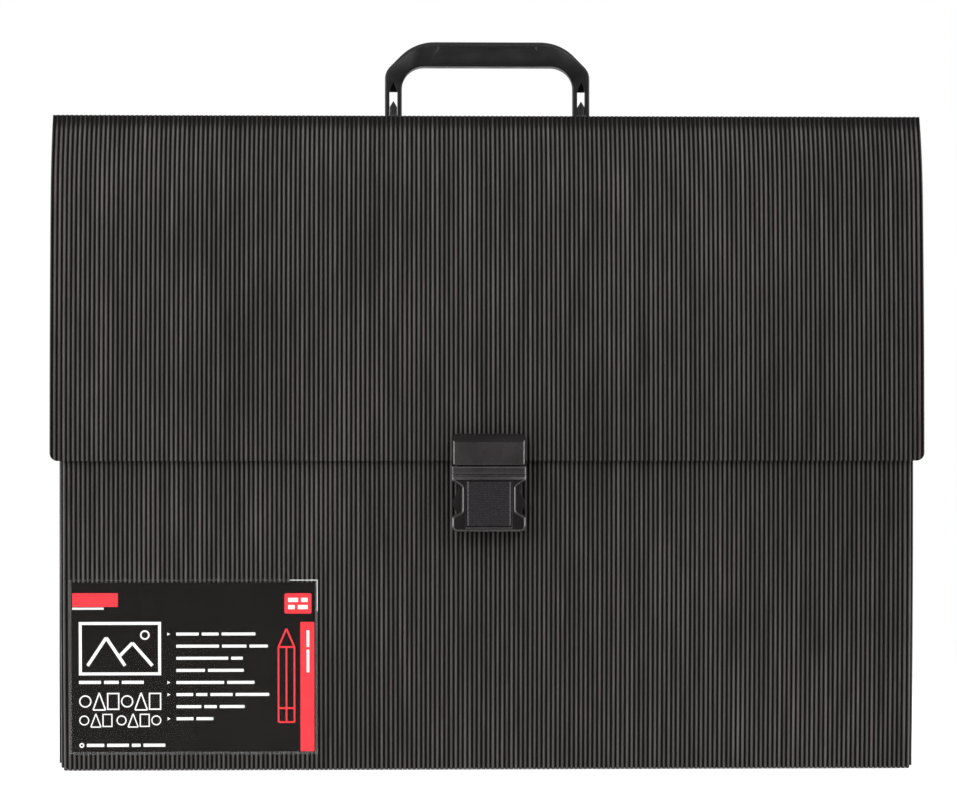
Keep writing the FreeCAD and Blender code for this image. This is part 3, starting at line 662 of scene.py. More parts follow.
def corner_rows(profile, corner, steps=7):
    """Adds rows near the profile's last end, so that its rounded corners are smooth."""
    (y0, z0, _), (y1, z1, normal) = profile[-2:]
    length = math.hypot(y1 - y0, z1 - z0)
    rows = profile[:-1]
    for step in range(steps + 1):
        left = corner * (1 - math.sin(math.pi / 2 * step / steps))
        t = 1 - left / length
        rows.append((y0 + (y1 - y0) * t, z0 + (z1 - z0) * t, normal))
    return rows


def make_flap():
    profile = corner_rows(flap_profile(), FLAP_CORNER)
    return ribbed_strip("flap_panel_sheet", profile, flap_high.x, FLAP_CORNER, pressed_near((0.0, FOLD_BAND)))


def scored(run):
    """A fold presses its whole strip evenly."""
    return FOLD_KEEPS


def make_creases():
    """The strips of the three folds, each bent between the ends of two sheets."""
    top = spine_high.z - HALF_SHEET
    back = back_low.y + HALF_SHEET
    under = base_low.z + HALF_SHEET + RIB_HEIGHT - RIB_SINK
    flap_start, front_start = flap_profile()[0], front_profile()[0]
    for node, bodies, start, start_normal, end, end_normal, half_width, pressed in (
            ("spine_crease", ("shell", "spine"), (back, back_high.z), (1.0, 0.0),
             (spine_high.y, top), (0.0, 1.0), spine_high.x, scored),
            ("flap_crease", ("spine", "flap"), (spine_low.y, top), (0.0, 1.0),
             flap_start[:2], flap_start[2], spine_high.x, scored),
            ("front_crease", ("shell", "front"), (base_low.y, under), (0.0, -1.0),
             front_start[:2], front_start[2], front_high.x - FRONT_CORNER, None)):
        profile = bent_profile(start, start_normal, end, end_normal)
        strip = ribbed_strip(node + "_strip", profile, half_width, pressed=pressed)
        finish_blend(strip, "ribbed_sheet", *bodies, (0, *start), (0, *end), node)


# ---------------------------------------------------------------- the front of the pocket

CREASE_GAP = 1.0 * MM
FRONT_BOTTOM = front_axis.z + CREASE_GAP
FRONT_HALF = (FRONT_TOP - FRONT_BOTTOM) / 2
FRONT_MIDDLE = FRONT_BOTTOM + FRONT_HALF
FRONT_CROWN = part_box("buckle_socket")[1].y
FRONT_BULGE = FRONT_EDGE - FRONT_CROWN
FRONT_RADIUS = (FRONT_HALF ** 2 + FRONT_BULGE ** 2) / (2 * FRONT_BULGE)


def face_y(z):
    """The y of the front panel's outer face at a height."""
    return FRONT_CROWN + FRONT_RADIUS - math.sqrt(FRONT_RADIUS ** 2 - (z - FRONT_MIDDLE) ** 2)


def front_profile():
    """The middle of the front panel's sheet, from its bottom to its top."""
    points, steps = [], 26
    for i in range(steps + 1):
        z = FRONT_BOTTOM + (FRONT_TOP - FRONT_BOTTOM) * i / steps
        lean = (z - FRONT_MIDDLE) / FRONT_RADIUS
        normal = (-math.cos(math.asin(lean)), lean)
        points.append((face_y(z) - normal[0] * HALF_SHEET, z, normal))
    return points


def make_front():
    """The bowed ribbed panel with both sides turned back round a radius."""
    half = front_high.x
    radius = FRONT_CORNER - HALF_SHEET
    flat = half - FRONT_CORNER
    quarter = radius * math.pi / 2
    tail = SIDE_RETURN - FRONT_CORNER
    reach = flat + quarter + tail
    plan = []
    for u in rib_stations(reach):
        side = 1 if u > 0 else -1
        along = abs(u)
        if along <= flat:
            plan.append((u, u, 0.0, (0.0, 1.0)))
            continue
        along -= flat
        if along <= quarter:
            angle = along / radius
            plan.append((u, side * (flat + radius * math.sin(angle)), radius * (1 - math.cos(angle)),
                         (side * math.sin(angle), math.cos(angle))))
        else:
            plan.append((u, side * (flat + radius), radius + along - quarter, (side, 0.0)))
    outer, inner = [], []
    for y, z, normal in front_profile():
        outer_row, inner_row = [], []
        for u, x, back, (across, ahead) in plan:
            out = HALF_SHEET - RIB_SINK + rib(u)
            outer_row.append((x + across * out, y + back + normal[0] * ahead * out,
                              z + normal[1] * ahead * out))
            inner_row.append((x - across * HALF_SHEET, y + back - normal[0] * ahead * HALF_SHEET,
                              z - normal[1] * ahead * HALF_SHEET))
        outer.append(outer_row)
        inner.append(inner_row)
    relief = [rib(u) / RIB_HEIGHT for u, _, _, _ in plan] * len(outer)
    return sheet_solid("front_panel_sheet", outer, inner, RIBBED, relief)


def make_gusset(node, side):
    """A pleated side wall."""
    low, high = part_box(node)
    outer_x = max(abs(low.x), abs(high.x))
    plan = []
    for fold in range(GUSSET_WALLS):
        y0, y1 = (low.y + (high.y - low.y) * edge / GUSSET_WALLS for edge in (fold, fold + 1))
        x0, x1 = (outer_x - (PLEAT_DEPTH if edge % 2 else 0.0) for edge in (fold, fold + 1))
        for part in range(8 if fold == GUSSET_WALLS - 1 else 7):
            t = part / 7
            curved = t * t * (3 - 2 * t) * 0.35 + t * 0.65
            plan.append((x0 + (x1 - x0) * curved, y0 + (y1 - y0) * t))
    normals = []
    for index in range(len(plan)):
        before, after = plan[max(index - 1, 0)], plan[min(index + 1, len(plan) - 1)]
        dx, dy = after[0] - before[0], after[1] - before[1]
        length = math.hypot(dx, dy)
        normals.append((dy / length, -dx / length))
    rows = 24
    outer, inner = [], []
    for row in range(rows + 1):
        z = low.z + (high.z - low.z) * row / rows
        outer.append([(side * x, y, z) for x, y in plan])
        inner.append([(side * (x - n[0] * GUSSET_THICKNESS), y - n[1] * GUSSET_THICKNESS, z)
                      for (x, y), n in zip(plan, normals)])
    wall = sheet_solid(node + "_pleats", outer, inner, INSIDE)
    finish_blend(wall, "gusset_sheet", "shell", "front", (0, high.y, 0), (0, low.y, 0), node)


# ---------------------------------------------------------------- handle

SPINE_TOP = spine_high.z
handle_low, handle_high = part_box("handle")
HANDLE_Y = (handle_low.y + handle_high.y) / 2
HANDLE_HALF = handle_high.x
LEG_WIDTH = 9.2 * MM
LEG_HALF_DEPTH = 3.0 * MM
GRIP_HALF_DEPTH = (handle_high.y - handle_low.y) / 2
HANDLE_RISE = 41.0 * MM
GRIP_HEIGHT = 13.4 * MM
GRIP_INNER_RADIUS = 12.0 * MM
SHOULDER_RADIUS = 26.0 * MM
SHOULDER_X = 29.0 * MM
KNEE_RADIUS = 9.0 * MM
LEG_X = HANDLE_HALF - LEG_WIDTH / 2
SLOT_LOW, SLOT_TOP = SPINE_TOP - 4.4 * MM, SPINE_TOP + 14.3 * MM
SLOT_HALF = 2.15 * MM
HANDLE_REACH = 8.0 * MM         # past both faces of the handle


def arc_points(cx, cz, radius, start, end, steps):
    """Points on a circle between two angles in degrees."""
    return [Vector((cx + radius * math.cos(math.radians(start + (end - start) * i / steps)),
                    cz + radius * math.sin(math.radians(start + (end - start) * i / steps))))
            for i in range(steps + 1)]


def along_path(path, fraction):
    """The point at a fraction of a path's length."""
    lengths = [0.0]
    for a, b in zip(path, path[1:]):
        lengths.append(lengths[-1] + (b - a).length)
    target = fraction * lengths[-1]
    for i in range(len(path) - 1):
        if target <= lengths[i + 1] or i == len(path) - 2:
            span = max(lengths[i + 1] - lengths[i], 1e-9)
            return path[i].lerp(path[i + 1], min((target - lengths[i]) / span, 1.0))


def handle_stations():
    """Matching outer and inner points of the right half of the handle, from the foot to the middle.

    Each station also has how far it has turned from leg, 0, to grip, 1.
    """
    top = SPINE_TOP + HANDLE_RISE
    under = top - GRIP_HEIGHT
    inner_x = HANDLE_HALF - LEG_WIDTH
    corner_x = inner_x - GRIP_INNER_RADIUS
    bend_z = under - GRIP_INNER_RADIUS
    diagonal = SHOULDER_RADIUS / math.sqrt(2)
    shoulder_z = top - SHOULDER_RADIUS
    knee_z = shoulder_z + diagonal - (HANDLE_HALF - SHOULDER_X - diagonal)
    round_knee = rounded([(HANDLE_HALF, bend_z, 0), (HANDLE_HALF, knee_z, KNEE_RADIUS),
                          (SHOULDER_X + diagonal, shoulder_z + diagonal, 0)], 8)
    outer_path = round_knee[:-1] + arc_points(SHOULDER_X, shoulder_z, SHOULDER_RADIUS, 45, 90, 10)
    inner_path = arc_points(corner_x, bend_z, GRIP_INNER_RADIUS, 0, 90, 16)
    leg_steps, bend_steps, grip_steps = 9, 24, 6
    stations = []
    foot = handle_low.z
    for i in range(leg_steps):
        z = foot + (bend_z - foot) * i / leg_steps
        stations.append((Vector((HANDLE_HALF, z)), Vector((inner_x, z)), 0.0))
    for i in range(bend_steps + 1):
        t = i / bend_steps
        stations.append((along_path(outer_path, t), along_path(inner_path, t), t))
    for i in range(1, grip_steps + 1):
        t = i / grip_steps
        stations.append((Vector((SHOULDER_X * (1 - t), top)), Vector((corner_x * (1 - t), under)), 1.0))
    return stations


def handle_section(outer, inner, turn):
    """One ring round the handle: a rectangle with bevelled corners, each bevel end slightly rounded."""
    grown = eased(turn, 0.12, 0.80)
    half_depth = LEG_HALF_DEPTH + (GRIP_HALF_DEPTH - LEG_HALF_DEPTH) * grown
    span = (outer - inner).length
    direction = (outer - inner) / span
    bevel_out = (0.7 + 1.2 * grown) * MM
    bevel_in = (0.7 + 0.3 * grown) * MM
    outline = []
    for reach, side, bevel in ((span, -1, bevel_out), (span, 1, bevel_out),
                               (0.0, 1, bevel_in), (0.0, -1, bevel_in)):
        toward = -1 if reach > 0 else 1
        first = (reach + toward * bevel, side * half_depth)
        second = (reach, side * (half_depth - bevel))
        pair = (first, second) if (reach > 0) == (side < 0) else (second, first)
        outline += [(a, b, 0.8 * MM * (0.4 + grown)) for a, b in pair]
    ring = [(inner + direction * a, b) for a, b in rounded(outline, 2)]
    return [(point.x, HANDLE_Y + b, point.y) for point, b in ring]


def grip_recess(side):
    """A cutter for the shallow panel in the grip, deepest along its top, with slanted end walls."""
    face = HANDLE_Y + side * GRIP_HALF_DEPTH
    top = handle_high.z
    high, low = top - 2.2 * MM, top - 8.4 * MM
    wide, wider, deep = 26.8 * MM, 29.8 * MM, 1.0 * MM
    outside = [(-wider, low), (wider, low), (wide + deep, high + deep), (-wide - deep, high + deep)]
    floor = [(-wider, low), (wider, low), (wide - deep, high - deep), (-wide + deep, high - deep)]
    depths = [0.0, 0.0, deep, deep]
    rings = [[(x, face + side * deep, z) for x, z in outside],
             [(x, face - side * depth, z) for (x, z), depth in zip(floor, depths)]]
    return loft("recess", rings, HANDLE)


def make_handle():
    right = handle_stations()
    rings = [handle_section(*station) for station in right]
    mirrored = [[(-x, y, z) for x, y, z in ring] for ring in rings[:-1]]
    body = loft("handle_moulding", mirrored + rings[::-1], HANDLE)
    near, far = HANDLE_Y - HANDLE_REACH, HANDLE_Y + HANDLE_REACH
    for side in (-1, 1):
        x = side * LEG_X
        left, right_edge = x - SLOT_HALF, x + SLOT_HALF
        carve(body, prism("slot", frame_outline(left, SLOT_LOW, right_edge, SLOT_TOP), near, far, HANDLE))
        arrow = [(left, SLOT_TOP - 0.1 * MM), (right_edge, SLOT_TOP - 0.1 * MM), (x, SLOT_TOP + 5 * MM)]
        carve(body, prism("recess", arrow, near, HANDLE_Y + 2 * MM, HANDLE))
    for side in (-1, 1):
        carve(body, grip_recess(side))
    soften(body, 0.25 * MM, 2, 50.0)

    def recess_end(centre, normal):
        return (24 * MM < abs(centre.x) < 32 * MM and centre.z > handle_high.z - 9 * MM
                and abs(normal.x) > 0.35 and abs(normal.y) > 0.35)

    # Painted highlight: the recess's end walls take the lighter, glossier buckle moulding, so that they show
    # as glints
    paint(body, BUCKLE, recess_end)
    finish_piece(body, "handle", "handle_moulding", "handle")


def make_anchors():
    """The cross bars under the spine, each with a pointed tongue that stands in a leg's slot."""
    bar_height, wide, narrow, hold = 1.6 * MM, 4.5 * MM, 2.0 * MM, 3.8 * MM
    tongue_depth, setback, shoulder = 4.0 * MM, 0.5 * MM, SPINE_TOP + 5.8 * MM
    for node, side in (("handle_anchor_left", -1), ("handle_anchor_right", 1)):
        low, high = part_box(node)
        x, middle = side * LEG_X, (low.y + high.y) / 2
        right = [(x + wide, low.y), (x + wide, middle - hold), (x + narrow, middle - hold),
                 (x + narrow, middle + hold), (x + wide, middle + hold), (x + wide, high.y)]
        plan = right + [(2 * x - px, py) for px, py in reversed(right)]
        body = prism(node + "_bar", plan, low.z, low.z + bar_height, HANDLE, "z")
        outline = [(x - narrow, low.z + 0.2 * MM), (x + narrow, low.z + 0.2 * MM), (x + narrow, shoulder),
                   (x, high.z), (x - narrow, shoulder)]
        near = middle - LEG_HALF_DEPTH + setback
        carve(body, prism("tongue", outline, near, near + tongue_depth, HANDLE), "UNION")
        soften(body, 0.3 * MM, 2)
        finish_piece(body, "spine", "moulded", node)


def make_plate(node, slot, body_name, openings=(), corner=3.0):
    """A flat stiffener with rounded corners, from the CAD node's box."""
    low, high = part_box(node)
    size = high - low
    if size.z < size.y:
        outline = frame_outline(low.x, low.y, high.x, high.y, corner * MM)
        vertices = [(p.x, p.y, z) for z in (low.z, high.z) for p in outline]
    else:
        outline = frame_outline(low.x, low.z, high.x, high.z, corner * MM)
        vertices = [(p.x, y, p.y) for y in (low.y, high.y) for p in outline]
    count = len(outline)
    faces = [tuple(range(count)), tuple(range(count, 2 * count))]
    faces += [(i, (i + 1) % count, count + (i + 1) % count, count + i) for i in range(count)]
    plate = smooth(add_object(node + "_moulding", vertices, faces, HIDDEN))
    for box in openings:
        carve(plate, box)
    soften(plate, 0.2 * MM, 2)
    finish_piece(plate, body_name, slot, node)


def leg_opening(side, low, high):
    """A block the size of the spine's opening for one leg."""
    x, half_x, half_y = side * LEG_X, 5.0 * MM, 3.4 * MM
    return prism("opening", [(HANDLE_Y - half_y, low), (HANDLE_Y + half_y, low), (HANDLE_Y + half_y, high),
                             (HANDLE_Y - half_y, high)], x - half_x, x + half_x, HIDDEN, "x")


RIVET_HEAD = 2.8 * MM
# Radius and height in mm, from the middle of a head to its shank
RIVET_PROFILE = ((1.6, 0.02), (2.4, 0.28), (2.75, 0.7), (2.8, 1.0), (1.5, 1.0))


def make_rivets(node, body_name, slot, material, axis):
    """Domed rivets at a CAD node's corners along an axis, with heads at both ends of each shank."""
    low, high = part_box(node)
    along = "xyz".index(axis)
    stations = [(radius * MM, low[along] + height * MM) for radius, height in RIVET_PROFILE]
    stations += [(radius * MM, high[along] - height * MM) for radius, height in reversed(RIVET_PROFILE)]
    seconds = (low.y + RIVET_HEAD, high.y - RIVET_HEAD) if axis == "z" else ((low.z + high.z) / 2,)
    turns = [2 * math.pi * i / 28 for i in range(28)]
    shanks = []
    for first in (low.x + RIVET_HEAD, high.x - RIVET_HEAD):
        for second in seconds:
            rings = [[placed(axis, first + radius * math.cos(turn), second + radius * math.sin(turn), place)
                      for turn in turns] for radius, place in stations]
            shanks.append(loft("rivet", rings, material))
    finish_piece(smooth(joined(node + "_domed", shanks)), body_name, slot, node)


# ---------------------------------------------------------------- buckle

TONGUE_DEPTH = 8.0 * MM
TONGUE_BOTTOM = 164.7 * MM
TONGUE_BEVEL_HEIGHT, TONGUE_BEVEL_DEPTH = 4.4 * MM, 4.0 * MM
GUIDE_HALF = 3.5 * MM
PIVOT_X, PIVOT_Z = 14.7 * MM, 168.0 * MM
KNUCKLE_RADIUS, KNUCKLE_PLAY = 2.4 * MM, 0.35 * MM
PRONG_FACE, PRONG_BACK = -32.0 * MM, -27.3 * MM
# The right prong's corners in mm: x, z and radius, down its inner side and up over the press pad
PRONG_CORNERS = [(12.6, 168.0, 2.0), (12.6, 142.6, 2.0), (13.7, 138.5, 1.0), (15.6, 138.5, 1.0),
                 (17.3, 139.6, 0.8), (19.2, 142.6, 1.4), (19.5, 145.5, 1.4), (17.0, 150.0, 1.0),
                 (16.6, 151.6, 0.6), (16.6, 168.0, 2.0)]
GROOVES, GROOVE_START, GROOVE_PITCH = 3, 142.6 * MM, 1.5 * MM
RIM_HALF, RIM_BOTTOM = 19.75 * MM, 156.6 * MM
# The socket's right half below the rim, in mm: x, z and radius, from the rim to the foot
SOCKET_CORNERS = [(19.4, 158.8, 0), (19.4, 156.4, 0), (14.6, 153.2, 1.6), (14.6, 140.2, 1.6),
                  (19.9, 137.2, 2.4), (19.9, 129.2, 3.6)]
SOCKET_SETBACK = 0.6 * MM
SOCKET_CHAMFER = 1.2 * MM
MOUTH_HALF, MOUTH_FLOOR = 17.3 * MM, 134.6 * MM
MOUTH_FACE, MOUTH_BACK = -32.4 * MM, -26.9 * MM
BED_HALF, BED_BOTTOM, BED_TOP, BED_SLOPE = 11.95 * MM, 131.6 * MM, 156.3 * MM, 2.1 * MM
PAST = 1.0 * MM                 # how far a cutter runs past a face
WIDE_CUT = 30.0 * MM            # half the length of a cutter that crosses the whole buckle

def make_tongue():
    """The male half: rounded shoulders, a bevel along the top, pockets for the prongs and a guide."""
    low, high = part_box("buckle_tongue")
    back, face = flap_low.y, flap_low.y - TONGUE_DEPTH
    half, foot, shoulder = high.x, 0.9 * MM, 2.6 * MM
    outline = rounded([(-half, TONGUE_BOTTOM, foot), (half, TONGUE_BOTTOM, foot),
                       (half, high.z, shoulder), (-half, high.z, shoulder)])
    body = chamfered("buckle_tongue_shell", outline, face, back, 0.8 * MM, BUCKLE)
    over = high.z + 0.6 * MM
    bevel = [(face - PAST, high.z - TONGUE_BEVEL_HEIGHT - 1.1 * MM), (face, high.z - TONGUE_BEVEL_HEIGHT),
             (face + TONGUE_BEVEL_DEPTH, over), (face - PAST, over)]
    carve(body, bar_along_x("bevel", bevel, half + 2 * PAST, BUCKLE))
    reach = KNUCKLE_RADIUS + KNUCKLE_PLAY
    for side in (-1, 1):
        x = side * PIVOT_X
        pocket = frame_outline(x - reach, TONGUE_BOTTOM - PAST, x + reach, PIVOT_Z + reach)
        carve(body, prism("pocket", pocket, PRONG_FACE - KNUCKLE_PLAY, PRONG_BACK + KNUCKLE_PLAY, BUCKLE))
    root = TONGUE_BOTTOM + 0.5 * MM
    guide = rounded([(-GUIDE_HALF, low.z, 2.4 * MM), (GUIDE_HALF, low.z, 2.4 * MM),
                     (GUIDE_HALF, root, 0), (-GUIDE_HALF, root, 0)])
    carve(body, prism("guide", guide, PRONG_FACE, PRONG_BACK, BUCKLE), "UNION")
    soften(body, 0.20 * MM, 2, 30.0)
    # Painted shade: the bevel along the top, which faces up, takes the darker copy of the moulding
    paint(body, BUCKLE_SHADED_MATT,
          lambda centre, normal: normal.z > 0.3 and normal.y < -0.3 and abs(normal.x) < 0.1)
    finish_piece(body, "flap", "buckle_moulding", "buckle_tongue")


def make_prongs():
    """The sprung legs: round knuckle, straight stem and a ridged press pad."""
    for node, side in (("prong_left", -1), ("prong_right", 1)):
        outline = [(side * p.x * MM, p.y * MM) for p in rounded(PRONG_CORNERS)]
        # Painted shade: the prongs, set back in the socket's side notches, take the darker copy of the
        # moulding
        body = chamfered(node + "_leg", outline, PRONG_FACE, PRONG_BACK, 0.4 * MM, BUCKLE_SHADED_MATT)
        knuckle = [(p.x * side, p.y) for p in arc_points(PIVOT_X, PIVOT_Z, KNUCKLE_RADIUS, 0, 352.5, 47)]
        carve(body, prism("knuckle", knuckle, PRONG_FACE, PRONG_BACK, BUCKLE_SHADED_MATT), "UNION")
        outside, bottom = side * 20.4 * MM, side * 18.9 * MM
        for step in range(GROOVES):
            z = GROOVE_START + GROOVE_PITCH * step
            groove = [(outside, z - 0.3 * MM), (outside, z + 0.3 * MM),
                      (bottom, z + 0.1 * MM), (bottom, z - 0.1 * MM)]
            carve(body, prism("groove", groove, PRONG_FACE - 2 * MM, PRONG_BACK + 2.3 * MM, BUCKLE_SHADED_MATT))
        soften(body, 0.15 * MM, 2, 30.0)
        finish_piece(body, node, "buckle_moulding", node)


def make_socket():
    """The female half: a banded rim, a waist between two side notches and a rounded foot."""
    low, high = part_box("buckle_socket")
    back, face = high.y, low.y
    rim = frame_outline(-RIM_HALF, RIM_BOTTOM, RIM_HALF, high.z)
    body = chamfered("buckle_socket_shell", rim, face, back, SOCKET_CHAMFER, BUCKLE)
    sunk = face + 0.5 * MM
    band = [(face - PAST, 157.5 * MM), (face, 157.5 * MM), (sunk, 158.3 * MM), (sunk, high.z + PAST),
            (face - PAST, high.z + PAST)]
    carve(body, bar_along_x("band", band, WIDE_CUT, BUCKLE))
    corners = [(-x, z, r) for x, z, r in SOCKET_CORNERS] + SOCKET_CORNERS[::-1]
    lower = chamfered("lower", rounded([(x * MM, z * MM, r * MM) for x, z, r in corners]),
                      face + SOCKET_SETBACK, back, SOCKET_CHAMFER, BUCKLE)
    carve(body, lower, "UNION")
    groove = [(face - PAST, 159.55 * MM), (face + PAST, 159.7 * MM),
              (face + PAST, 160.05 * MM), (face - PAST, 160.2 * MM)]
    carve(body, bar_along_x("groove", groove, WIDE_CUT, BUCKLE))
    carve(body, prism("mouth", frame_outline(-MOUTH_HALF, MOUTH_FLOOR, MOUTH_HALF, 170 * MM, 0.8 * MM),
                      MOUTH_FACE, MOUTH_BACK, BUCKLE))
    bed = [(-BED_HALF, BED_BOTTOM), (BED_HALF, BED_BOTTOM), (BED_HALF, BED_TOP), (-BED_HALF, BED_TOP)]
    mouth_of_bed = [(x + math.copysign(BED_SLOPE, x), z - (BED_SLOPE if z == BED_BOTTOM else 0.0))
                    for x, z in bed]
    carve(body, loft("bed", [[(x, face - 0.4 * MM, z) for x, z in mouth_of_bed],
                             [(x, face + PAST, z) for x, z in bed]], BUCKLE))
    carve(body, prism("slot", frame_outline(-BED_HALF, BED_BOTTOM, BED_HALF, BED_BOTTOM + 1.6 * MM),
                      face - PAST, back + PAST, BUCKLE))
    soften(body, 0.20 * MM, 2, 30.0)
    # Painted shade: the front faces below the rim, in the rim's shadow, take the darker copy of the moulding
    paint(body, BUCKLE_SHADED_MATT, lambda centre, normal: centre.z < 156.0 * MM and normal.y < -0.9)
    finish_piece(body, "front", "buckle_moulding", "buckle_socket")


def make_strap():
    """The webbing over the socket, with its weave as geometry and rolled edges."""
    low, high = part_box("socket_strap")
    half, face = high.x, low.y
    pitch, length, rolled, thickness = 1.15 * MM, 34.0 * MM, 0.7 * MM, 0.85 * MM
    columns, rows = 96, 100
    front, bottom = face + 0.05 * MM, low.z + 0.05 * MM
    path = [Vector((front, high.z)), Vector((front, low.z + 0.9 * MM)),
            Vector((face + 0.9 * MM, bottom)), Vector((high.y - 0.3 * MM, bottom))]
    outer, inner = [], []
    for row in range(rows + 1):
        t = row / rows
        here = along_path(path, t)
        ahead, behind = along_path(path, min(t + 0.01, 1.0)), along_path(path, max(t - 0.01, 0.0))
        tangent = (ahead - behind).normalized()
        normal = Vector((tangent.y, -tangent.x))
        outer_row, inner_row = [], []
        for column in range(columns + 1):
            x = -half + 2 * half * column / columns
            rim = 1.0 - min(1.0, (half - abs(x)) / rolled)
            weave = math.sin(math.pi * x / pitch) * math.sin(math.pi * t * length / pitch)
            lift = (0.15 * weave - 0.10 - 0.40 * rim * rim) * MM
            outer_row.append((x, here.x + normal.x * lift, here.y + normal.y * lift))
            inner_row.append((x, here.x - normal.x * thickness, here.y - normal.y * thickness))
        outer.append(outer_row)
        inner.append(inner_row)
    strap = sheet_solid("socket_strap_webbing", outer, inner, WEBBING)
    # Painted highlight: the rolled edges take a lighter colour
    paint(strap, SELVEDGE_HIGHLIGHT, lambda centre, normal: abs(centre.x) > half - rolled)
    finish_piece(strap, "front", "webbing", "socket_strap")


# ---------------------------------------------------------------- label

BEND_STEP = 6.0 * MM            # between the rows that let a flat mesh follow the curve


def follow_front(obj, distance):
    """Moves a flat mesh, drawn at y = 0, out to a distance from the front panel's curved face."""
    work = bmesh.new()
    work.from_mesh(obj.data)
    heights = [v.co.z for v in work.verts]
    level = min(heights) + BEND_STEP
    while level < max(heights):
        geometry = work.verts[:] + work.edges[:] + work.faces[:]
        bmesh.ops.bisect_plane(work, geom=geometry, plane_co=(0, 0, level), plane_no=(0, 0, 1))
        level += BEND_STEP
    for vertex in work.verts:
        vertex.co.y += face_y(vertex.co.z) - distance
    work.to_mesh(obj.data)
    work.free()
    return smooth(obj, 30.0)


card_low, card_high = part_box("label_card")
sleeve_low, sleeve_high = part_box("label_sleeve")
CARD_THICKNESS = 0.4 * MM
RED_DEPTH = 0.05 * MM
WHITE_DEPTH = 0.07 * MM         # white is printed over red
LABEL_WIDTH = sleeve_high.x - sleeve_low.x
LABEL_HEIGHT = sleeve_high.z - sleeve_low.z


def label_point(across, down):
    """A place on the label, from fractions of the sleeve's width and height."""
    return sleeve_low.x + LABEL_WIDTH * across, sleeve_high.z - LABEL_HEIGHT * down


class Ink:
    """Collects the shapes of one colour of print."""

    def __init__(self, name, material, depth):
        self.name, self.material, self.depth, self.shapes = name, material, depth, []

    def outline(self, points):
        self.shapes.append(prism("shape", points, -self.depth, 0.0, self.material))

    def block(self, left, top, right, bottom, radius=0.0):
        (x0, z1), (x1, z0) = label_point(left, top), label_point(right, bottom)
        self.outline(frame_outline(x0, z0, x1, z1, radius * MM))

    def frame(self, left, top, right, bottom, width):
        """An empty box with a line of a width in mm."""
        across, down = width * MM / LABEL_WIDTH, width * MM / LABEL_HEIGHT
        self.block(left, top, right, top + down)
        self.block(left, bottom - down, right, bottom)
        self.block(left, top + down, left + across, bottom - down)
        self.block(right - across, top + down, right, bottom - down)

    def signs(self, left, right, top, bottom, groups, width):
        """A row of plain circles, triangles and squares, in groups of the given numbers."""
        gap, space = 0.006, 0.016
        room = right - left - space * (len(groups) - 1) - gap * (sum(groups) - len(groups))
        wide = room / sum(groups)
        at, number = left, 0
        for group in groups:
            for _ in range(group):
                end, middle = at + wide, at + wide / 2
                if number % 3 == 0:
                    radius = min(wide * LABEL_WIDTH, (bottom - top) * LABEL_HEIGHT) / 2 / MM
                    self.ring((middle, (top + bottom) / 2), radius, width)
                elif number % 3 == 1:
                    for first, second in (((at, bottom), (middle, top)), ((middle, top), (end, bottom)),
                                          ((end, bottom), (at, bottom))):
                        self.stroke(first, second, width)
                else:
                    self.frame(at, top, end, bottom, width)
                at, number = end + gap, number + 1
            at += space - gap

    def stroke(self, start, end, width):
        (x0, z0), (x1, z1) = label_point(*start), label_point(*end)
        along = Vector((x1 - x0, z1 - z0)).normalized()
        side = Vector((-along.y, along.x)) * (width * MM / 2)
        a, b = Vector((x0, z0)), Vector((x1, z1))
        self.outline([a - side, b - side, b + side, a + side])

    def ring(self, centre, radius, width):
        x, z = label_point(*centre)
        steps = 32
        for i in range(steps):
            angles = [2 * math.pi * k / steps for k in (i, i + 1)]
            spots = [(r * math.cos(a), r * math.sin(a)) for r, a in
                     ((radius, angles[0]), (radius, angles[1]), (radius - width, angles[1]),
                      (radius - width, angles[0]))]
            self.outline([(x + p * MM, z + q * MM) for p, q in spots])

    def words(self, left, right, middle, height, lengths):
        """A line of print as plain bars of the given relative lengths."""
        gap = 0.012
        total = sum(lengths)
        room = right - left - gap * (len(lengths) - 1)
        at = left
        for length in lengths:
            wide = room * length / total
            self.block(at, middle - height / 2, at + wide, middle + height / 2, 0.25)
            at += wide + gap

    def finish(self):
        piece = follow_front(joined(self.name, self.shapes), CARD_THICKNESS)
        finish_piece(piece, "front", "card")


def make_card():
    outline = frame_outline(card_low.x, card_low.z, card_high.x, card_high.z, 0.4 * MM)
    card = prism("label_card_stock", outline,
                 -CARD_THICKNESS, -0.10 * MM, CARD)
    follow_front(card, 0.0)
    finish_piece(card, "front", "card", "label_card")


